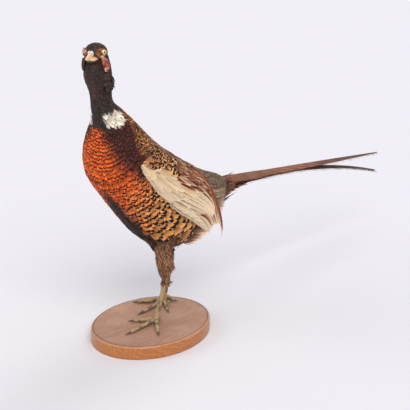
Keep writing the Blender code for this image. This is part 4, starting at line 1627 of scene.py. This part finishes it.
class Quills(Vanes):
    """Long vanes, each laid on its own surface."""

    def __init__(self, columns, rows):
        super().__init__(columns, rows)
        self.vanes, self.looks, self.seeds = [], [], []

    def add(self, surface, thick, look, seed):
        """surface gives a point and the normal there, at a place across, -1 to 1, and along, 0 to 1."""
        vane = []
        for x, y, z in self.points:
            point, out = surface(x, y)
            vane.append(point + out * z * thick)
        self.vanes.append(np.array(vane))
        self.looks.append(look)
        self.seeds.append(seed)

    def lay(self, table, side, root, tip, half, height, thick, look, rng):
        """One long pointed vane on a blade of the wing."""
        surface = on_blade(table, side, root, tip, half, POINTED, height, 0.05)
        self.add(surface, thick, look, rng.uniform(0, 1))

    def piece(self, name, material, *nodes):
        """Makes the piece of all its vanes, each with a strip of the baking map."""
        many = len(self.vanes)
        u, v = self.points[:, 0] / 2 + 0.5, self.points[:, 1]
        columns = math.ceil(math.sqrt(many * 3))
        lines = math.ceil(many / columns)
        strips = []
        for k in range(many):
            across = (k % columns + 0.06 + 0.88 * u) / columns
            strips.append(np.stack([across, (k // columns + 0.02 + 0.96 * v) / lines], 1))
        points, spots = np.concatenate(self.vanes), np.concatenate(strips)
        return self.joined(name, points, spots, self.looks, self.seeds, material, "plumage", *nodes)


def blade_point(table, side, s, across, height=0.0):
    """A point on the outer face of a blade of the wing, at place s of its table and across it from above."""
    blade = between(table, s)
    share = min(max(across, 0), 1)
    angle = math.radians(blade.upper + (blade.lower - blade.upper) * across)
    arch = blade.thick * (0.35 + 0.65 * math.sin(math.pi * share) ** 0.5)
    return body_point(blade.at, side * angle, blade.lift - blade.thick + arch + height)


def blade_run(table, side):
    """Places of a blade's table and the distances along its middle."""
    places = np.linspace(0, len(table) - 0.6, 84)
    points = [blade_point(table, side, s, 0.5) for s in places]
    steps_on = [(b - a).length for a, b in zip(points, points[1:])]
    return places, np.concatenate([[0], np.cumsum(steps_on)])


def on_blade(table, side, root, tip, half, form, height, cup=0.10):
    """The surface of a vane laid on a blade from its root to its tip, each a place along and across."""

    def point_at(x, y):
        s = root[0] + (tip[0] - root[0]) * y
        wide = max((blade_point(table, side, s, 1) - blade_point(table, side, s, 0)).length, 0.002)
        breadth = float(outline(y, form)) * half
        across = root[1] + (tip[1] - root[1]) * y + x * breadth / wide
        across = min(max(across, 0.0), 1.0)
        lift = height[0] + (height[1] - height[0]) * y - cup * breadth * x * x
        return blade_point(table, side, s, across, lift)

    def surface(x, y):
        here = point_at(x, y)
        down = point_at(x, min(y + 0.02, 1)) - point_at(x, max(y - 0.02, 0))
        over = point_at(min(x + 0.05, 1), y) - point_at(max(x - 0.05, -1), y)
        out = down.cross(over)
        if out.length < 1e-12:
            out = Vector((side, 0, 0))
        out.normalize()
        return here, out if out.x * side > 0 else -out

    return surface


SECONDARIES, INNER_FEATHERS = 15, 11
VANE_THICK, LONG_THICK = 0.0003, 0.00035


class PHEASANT_OT_wings(bpy.types.Operator):
    """Lays coverts, secondaries, primaries and long inner feathers on the folded wings"""

    bl_idname = "pheasant.wings"
    bl_label = "Wings"

    def execute(self, context):
        for name, side in SIDES.items():
            rng = np.random.default_rng(WING_SEED + side)
            self.coverts(name, side, rng)
            self.secondaries(name, side, rng)
            self.long_feathers(name, side, rng)
        return {"FINISHED"}

    def tier(self, coat, side, rng, look_at, span, size, growth, height, form=ROUND, cup=0.08):
        """Rows of feathers over the wing from one distance along it to another. size has the distance between
        rows, breadth and length, and growth what each gains along the wing; look_at gives a look, or None
        where this tier has no feather."""
        places, runs = blade_run(WING, side)
        run, end = span
        row = 0
        while run < end:
            pitch, wide, long = (least + run * gain for least, gain in zip(size, growth))
            s, tip_s = (float(np.interp(value, runs, places)) for value in (run, run + long))
            blade = between(WING, s)
            breadth = (blade_point(WING, side, s, 1) - blade_point(WING, side, s, 0)).length
            count = max(int(breadth / (wide * 0.62)), 2)
            for k in range(count + 1):
                across = (k + 0.5 * (row % 2) - 0.25) / count + rng.uniform(-0.025, 0.025)
                look = look_at(blade.at, blade.upper + (blade.lower - blade.upper) * across, across)
                if look is None or not -0.02 < across < 1.02:
                    continue
                tip = (tip_s + rng.uniform(-0.06, 0.06), across + rng.uniform(-0.015, 0.015))
                lift = (height[0], height[1] + rng.uniform(-0.0003, 0.0004))
                surface = on_blade(WING, side, (s, across), tip, wide / 2, form, lift, cup)
                coat.add(surface, wide * 0.02, look, rng.uniform(0, 1))
            run += pitch
            row += 1

    def coverts(self, name, side, rng):
        """The front, upper and pale coverts, the lowest tier first."""
        c = palette()
        cream = Look(c.cream, c.cream * 1.1, c.buff, 0.06, 0.10, 0.0, 0.2)
        warm = (c.buff + c.gold) * 0.40
        barred = Look(warm * 1.5, c.maroon * 0.5, c.maroon * 2, 0.22, 0.10, 0.0, 0.1, 0.25)
        black = Look(warm * 1.8, c.black * 0.4, warm * 0.9, 0.30, 0.04, 0.0, 0.1, 0.2)
        dusky = Look(c.maroon * 2.2 + c.gold * 0.12, c.black * 0.4, c.maroon, 0.30, 0.2, 0.0, 0.1, 0.6)
        streak = Look(c.rust * 1.1, c.cream * 0.8, c.maroon * 0.8, 0.14, 0.40, 0.0, 0.2)
        line = ((5.2, 5.4, 6.05, 6.5, 6.85), (30, 80, 82, 92, 98))
        _, runs = blade_run(WING, side)

        def front_look(t, angle, across):
            if angle - float(np.interp(t, *line)) > rng.normal() * 1.5:
                return None
            last = t < 5.9 and rng.uniform() < 0.7
            look = black if last and angle > 60 else barred
            look = mixed(look, dusky, 0.55 * max(ramp(6.1, 6.5, t), rng.uniform() < 0.12))
            return look._replace(ground=look.ground * rng.uniform(0.9, 1.35))

        def cream_look(t, angle, across):
            tan = ramp(0.78, 0.22, across) + rng.normal() * 0.15
            look = mixed(cream, streak, min(max(tan * 0.6, 0), 0.7))
            if t < 5.0 and across < 0.55 and rng.uniform() < 0.26:
                look = look._replace(centre=c.rust, centre_wide=0.20)
            worn = np.array((1.0, 0.93, 0.78)) if across < 0.85 and rng.uniform() < 0.5 else 1.0
            return look._replace(ground=look.ground * rng.uniform(0.82, 1.04) * worn)

        def upper_look(t, angle, across):
            if across > 0.44 + rng.normal() * 0.08:
                return None
            pick = rng.uniform()
            if pick < 0.18:
                return mixed(streak, cream, 0.35)
            fringe = c.rust * 0.9 + c.buff * rng.uniform(0.1, 0.8)
            return streak._replace(ground=c.rust * rng.uniform(0.6, 1.5), edge=fringe)

        coat = Quills(2, 7)
        even = (0, 0, 0)
        upper_end = runs[-1] * 0.80
        for tier in (
            (cream_look, (0.004, 0.105), (0.011, 0.012, 0.062), even, (-0.0005, 0.0003), POINTED, 0.04),
            (cream_look, (0.001, 0.016), (0.004, 0.009, 0.022), even, (-0.0003, 0.0005)),
            (upper_look, (0.020, upper_end), (0.008, 0.0055, 0.040), even, (0.0, 0.0016), POINTED),
            (front_look, (0.001, 0.085), (0.0032, 0.0056, 0.012), (0.055, 0.055, 0.08), (0.0, 0.0020)),
        ):
            self.tier(coat, side, rng, *tier)
        coat.piece("wing_coverts_" + name, quill_finish())

    def secondaries(self, name, side, rng):
        """The long pale feathers of the wing's panel, and those that lie inside them."""
        places, runs = blade_run(WING, side)
        coat = Quills(4, 16)
        c = palette()
        for k in range(SECONDARIES):
            across = 0.05 + 0.92 * k / (SECONDARIES - 1)
            start = runs[-1] * (0.34 + 0.10 * across)
            end = min(start + 0.122 - 0.030 * abs(across - 0.6), runs[-1])
            s, tip_s = (float(np.interp(value, runs, places)) for value in (start, end))
            ground = c.cream * rng.uniform(0.85, 1.0) if across > 0.35 else c.rust * 0.8 + c.buff * 0.35
            centre = c.rust * rng.uniform(0.5, 0.9)
            wide = 0.32 if k % 3 == 1 and across < 0.55 else 0.10
            look = Look(ground, c.cream * 1.05, centre, 0.07, wide, 0.0, 0.2)
            height = (-0.0010 + 0.00007 * k, 0.0004 + 0.00007 * k)
            tip = (tip_s, across + rng.uniform(-0.03, 0.03))
            coat.lay(WING, side, (s, across), tip, 0.0080, height, VANE_THICK, look, rng)
        for k in range(INNER_FEATHERS):
            across = 0.03 + 0.94 * k / (INNER_FEATHERS - 1)
            end = 5 - 1.7 * across**1.3 + rng.uniform(-0.15, 0.05)
            shade = rng.uniform(0.75, 1.05)
            ground = c.cream * shade if k % 3 and across > 0.4 else c.rust + c.cream * 0.25
            look = Look(ground, c.cream, c.rust * 0.8, 0.08, 0.12 + 0.2 * (k % 2), 0.0, 0.2)
            height = (-0.0034, 0.0008 + 0.0001 * k)
            tip = (end, 0.08 + 0.84 * across)
            coat.lay(INNER, side, (0.1, across), tip, 0.0066, height, VANE_THICK, look, rng)
        coat.piece("wing_secondaries_" + name, quill_finish())

    def long_feathers(self, name, side, rng):
        """The primaries and tertials, which replace solids of their own."""
        c = palette()
        pale = Look(c.cream, c.cream * 1.1, c.down, 0.10, 0.12, 0.2, 0.25)
        brown = Look(c.buff * 1.1, c.cream, c.maroon * 0.9, 0.12, 0.35, 0.0, 0.25)
        kinds = (("primaries", PRIMARIES, 6, 0.0065, pale), ("tertials", TERTIALS, 8, 0.0075, brown))
        for kind, table, many, half, look in kinds:
            coat = Quills(4, 20)
            last = len(table) - 1
            for k in range(many):
                share = k / (many - 1)
                mine = look
                if kind == "primaries":
                    across = 0.20 + 0.60 * share
                    height = (-0.0010 + 0.0003 * k, -0.0004 + 0.0003 * k)
                else:
                    across = 0.88 - 0.76 * share
                    height = (0.0004 + 0.0004 * k, 0.0014 + 0.0003 * k)
                    mine = look._replace(ground=c.rust * 1.2 if k % 2 or k > 5 else c.buff * 1.15)
                tip = (last * (1 - 0.46 * (1 - share) ** 1.2), 0.5 + (across - 0.5) * 0.5)
                coat.lay(table, side, (0, across), tip, half, height, LONG_THICK, mine, rng)
            coat.piece(f"{kind}_vanes_{name}", quill_finish(), f"{kind}_{name}")


def tail_rings(name):
    """The middle and half breadth of a tail feather at each of its rings, from its solid."""
    points = np.unique(np.round(vertices_of(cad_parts[name].data), 6), axis=0)
    rings = []
    for y in np.unique(np.round(points[:, 1], 5)):
        ring = points[np.abs(points[:, 1] - y) < 2e-5]
        if len(ring) < 4:
            continue
        left, right = ring[ring[:, 0].argmin()], ring[ring[:, 0].argmax()]
        rings.append((ring.mean(axis=0), (right - left) / 2))
    return rings


LONG_TAIL = 0.3  # least length of the feathers that show in full
FRINGE_PITCH = 0.0019


class PHEASANT_OT_tail(bpy.types.Operator):
    """Makes the long tail feathers with barred webs, shafts and loose fringes"""

    bl_idname = "pheasant.tail"
    bl_label = "Tail"

    def execute(self, context):
        c = palette()
        rng = np.random.default_rng(TAIL_SEED)
        fringe = Coat(HAIRY, 1, 3)
        for number in range(1, 6):
            for name in SIDES:
                node = f"tail_{number}_{name}"
                middles, halves = (np.array(values) for values in zip(*tail_rings(node)))
                runs = middles[:, 1]
                long = runs[-1] - runs[0]
                coat = Quills(6, 64 if long > LONG_TAIL else 36)

                def surface(x, y):
                    at = runs[0] + long * y
                    middle = Vector([np.interp(at, runs, middles[:, k]) for k in range(3)])
                    half = Vector([np.interp(at, runs, halves[:, k]) for k in range(3)])
                    out = Vector((0, 0, 1))
                    rise = 0.0005 * (1 - x * x) - 0.72 * half.length * x * x
                    return middle + half * x + out * rise, out

                look = Look(c.tail, c.fringe * 1.1, c.black * 4, 0.22, 0.06, 0.35, 0.2)
                coat.add(surface, LONG_THICK, look, rng.uniform(0, 1))
                piece = coat.piece(f"tail_vane_{number}_{name}", tail_finish(), node)
                self.aged(piece.data, runs[0], long if long > LONG_TAIL else 1.0)
                self.fringe(fringe, rng, surface, long, 0.09 * (number * 2 + (name == "left")) - 0.04)
        fringe.piece("tail_fringe")
        return {"FINISHED"}

    def fringe(self, coat, rng, surface, long, column):
        """Loose barbs along both edges of a feather."""
        c = palette()
        along = 0.12
        while along < 0.99:
            for edge in (-1, 1):
                point, out = surface(edge * 0.93, along)
                ahead = surface(edge * 0.93, min(along + 0.01, 1))[0] - point
                way = (ahead.normalized() + Vector((edge * 0.22, 0, -0.34))).normalized()
                size = (rng.uniform(0.011, 0.021) * (1 if long > LONG_TAIL else 0.75), 0.0014)
                look = Look(c.fringe * rng.uniform(0.35, 1.1), c.fringe, c.maroon, 0.1, 0.1, 0, 0.1)
                lift = (rng.normal() * 0.0006, 0)
                coat.add(point, way, out, size, lift, (column, 0.02 + 0.96 * along), look, rng.uniform(0, 1))
            along += FRINGE_PITCH / long

    def aged(self, mesh, start, long):
        """Turns a feather's web duller and darker towards its tip, and uneven along it."""
        points = vertices_of(mesh)
        share = (points[:, 1] - start) / long
        tip = np.clip((share - 0.40) / 0.30, 0, 1)[:, None]
        patches = np.array([noise.noise(Vector((0, y * 42, start * 9))) for y in points[:, 1]])[:, None]
        for name, loss in (("ground", (0.66, 0.50, 0.40)), ("edge", (0.62, 0.46, 0.36))):
            layer = mesh.attributes[name].data
            values = np.zeros(len(layer) * 4)
            layer.foreach_get("color", values)
            values = values.reshape(-1, 4)
            values[:, :3] *= (1 - tip * np.array(loss)) * (1 + 0.45 * patches)
            layer.foreach_set("color", values.ravel())


# ---------------------------------------------------------------- base and stage


BASE_TURN = 3  # degrees between the base's long axis and Y
BASE_EDGE = 0.0035  # radius of the rounded rim
TOP_INSETS = (0.0005, 0.0005, 0.0006, 0.003, 0.02)  # steps inwards that carry the markings of the top


class PHEASANT_OT_base(bpy.types.Operator):
    """Makes the oval wooden base with its rounded, varnished edge"""

    bl_idname = "pheasant.base"
    bl_label = "Wooden base"

    def execute(self, context):
        low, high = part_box("base")
        turn = math.radians(BASE_TURN)
        # the box of an ellipse turned by a little gives back its half axes
        x2, y2 = (((high[k] - low[k]) / 2) ** 2 for k in (0, 1))
        c2, s2 = math.cos(turn) ** 2, math.sin(turn) ** 2
        wide = math.sqrt((x2 * c2 - y2 * s2) / (c2 * c2 - s2 * s2))
        long = math.sqrt((y2 * c2 - x2 * s2) / (c2 * c2 - s2 * s2))
        shape = bmesh.new()
        bmesh.ops.create_circle(shape, segments=180, radius=1, cap_ends=True)
        where = Matrix.Rotation(turn, 4, "Z") @ Matrix.Diagonal((wide, long, 1, 1))
        bmesh.ops.transform(shape, matrix=where, verts=shape.verts)
        bottom = shape.faces[:]
        walls = bmesh.ops.extrude_face_region(shape, geom=bottom)["geom"]
        lifted = [item for item in walls if isinstance(item, bmesh.types.BMVert)]
        bmesh.ops.translate(shape, verts=lifted, vec=(0, 0, high.z))
        bmesh.ops.recalc_face_normals(shape, faces=shape.faces)
        rim = [edge for edge in shape.edges if min(vertex.co.z for vertex in edge.verts) > high.z / 2]
        bmesh.ops.bevel(
            shape, geom=rim, offset=BASE_EDGE, offset_type="OFFSET", segments=5, profile=0.5,
            affect="EDGES", material=-1,
        )
        lid = [face for face in shape.faces if len(face.verts) > 4 and face.normal.z > 0.5]
        for inset in TOP_INSETS:
            bmesh.ops.inset_region(shape, faces=lid, thickness=inset, use_even_offset=True)
        wall = [edge for edge in shape.edges if abs(edge.verts[0].co.z - edge.verts[1].co.z) > high.z / 2]
        bmesh.ops.subdivide_edges(shape, edges=wall, cuts=6)
        kinds = []
        for vertex in shape.verts:
            x, y, _ = where.inverted() @ vertex.co
            off = (1 - math.hypot(x, y)) * (wide + long) / 2
            top = ramp(0.0030, 0.0036, off)
            groove = ramp(0.0028, 0.0036, off) * (1 - ramp(0.0042, 0.0050, off))
            # the second kind marks the rounded rim, whose paler band is partly a painted highlight
            kinds.append((top, ramp(0.0002, 0.0012, off) * (1 - top), groove))
        finish_shape("wooden_base", shape, {"kind": kinds}, base_finish(), "varnished_wood", "base")
        return {"FINISHED"}


# The lights: name, where it comes from, strength, softness in degrees and colour.
LIGHTS = (
    ("key_light", (1.3, -1.0, 1.5), 2.2, 45, (1.0, 0.98, 0.95)),
    ("fill_light", (-1.6, -1.5, 1.1), 0.7, 40, (0.95, 0.97, 1.0)),
    ("back_light", (-0.3, 1.5, 1.6), 0.7, 30, (1.0, 1.0, 1.0)),
)
SKY_COLOUR = (0.93, 0.92, 0.96, 1)
SKY_LIGHT, SKY_SEEN = 0.58, 0.93  # strength of the sky as a light, and as the camera sees it
FLOOR_REACH = 14
LENS, SENSOR = 86.9, 36
CAMERA_AT, CAMERA_TILT, CAMERA_TURN = (1.0416, -1.1012, 0.7152), 72, 40


def sun_light(name, way, power, soft, colour):
    """Even light from one side, its shadows softened over an angle in degrees."""
    light = bpy.data.lights.new(name, "SUN")
    light.energy = power
    light.angle = math.radians(soft)
    light.color = colour
    lamp = new_object(name, light)
    lamp.location = way
    lamp.rotation_euler = Vector(way).to_track_quat("Z", "Y").to_euler()


class PHEASANT_OT_stage(bpy.types.Operator):
    """Sets out a plain pale floor, soft studio light and the camera"""

    bl_idname = "pheasant.stage"
    bl_label = "Stage"

    def execute(self, context):
        shape = bmesh.new()
        bmesh.ops.create_grid(shape, x_segments=8, y_segments=8, size=FLOOR_REACH)
        floor = new_object("floor", mesh_of(shape, "floor"))
        floor.data.materials.append(floor_finish())
        for light in LIGHTS:
            sun_light(*light)
        world = bpy.data.worlds.new("studio")
        world.use_nodes = True
        sky = world.node_tree.nodes["Background"].inputs
        sky["Color"].default_value = SKY_COLOUR
        seen = world.node_tree.nodes.new("ShaderNodeLightPath").outputs["Is Camera Ray"]
        n = Nodes(world.node_tree)
        n.put(sky["Strength"], n.shade(seen, SKY_LIGHT, SKY_SEEN))
        context.scene.world = world
        context.scene.view_settings.view_transform = "Standard"
        lens = bpy.data.cameras.new("camera")
        lens.lens, lens.sensor_width, lens.clip_start = LENS, SENSOR, 0.05
        camera = new_object("camera", lens)
        camera.location = CAMERA_AT
        camera.rotation_euler = (math.radians(CAMERA_TILT), 0, math.radians(CAMERA_TURN))
        context.scene.camera = camera
        return {"FINISHED"}


# ---------------------------------------------------------------- panel and running


MAKERS = (
    PHEASANT_OT_skin,
    PHEASANT_OT_eyes,
    PHEASANT_OT_bill,
    PHEASANT_OT_claws,
    PHEASANT_OT_body_coat,
    PHEASANT_OT_head_coat,
    PHEASANT_OT_thigh_coat,
    PHEASANT_OT_wings,
    PHEASANT_OT_tail,
    PHEASANT_OT_base,
    PHEASANT_OT_stage,
)


class PHEASANT_PT_panel(bpy.types.Panel):
    """Lists the pieces of the mount"""

    bl_idname = "PHEASANT_PT_panel"
    bl_label = "Mounted pheasant"
    bl_space_type = "VIEW_3D"
    bl_region_type = "UI"
    bl_category = "Pheasant"

    def draw(self, context):
        for maker in MAKERS:
            self.layout.operator(maker.bl_idname)


CLASSES = (PheasantColours, PheasantSizes, *MAKERS, PHEASANT_PT_panel)


def register():
    for item in CLASSES:
        bpy.utils.register_class(item)
    bpy.types.Scene.pheasant_colours = bpy.props.PointerProperty(type=PheasantColours)
    bpy.types.Scene.pheasant_sizes = bpy.props.PointerProperty(type=PheasantSizes)


def unregister():
    del bpy.types.Scene.pheasant_sizes
    del bpy.types.Scene.pheasant_colours
    for item in reversed(CLASSES):
        bpy.utils.unregister_class(item)


def main():
    register()
    for maker in MAKERS:
        getattr(bpy.ops.pheasant, maker.bl_idname.split(".")[1])()


if __name__ == "__main__":
    main()
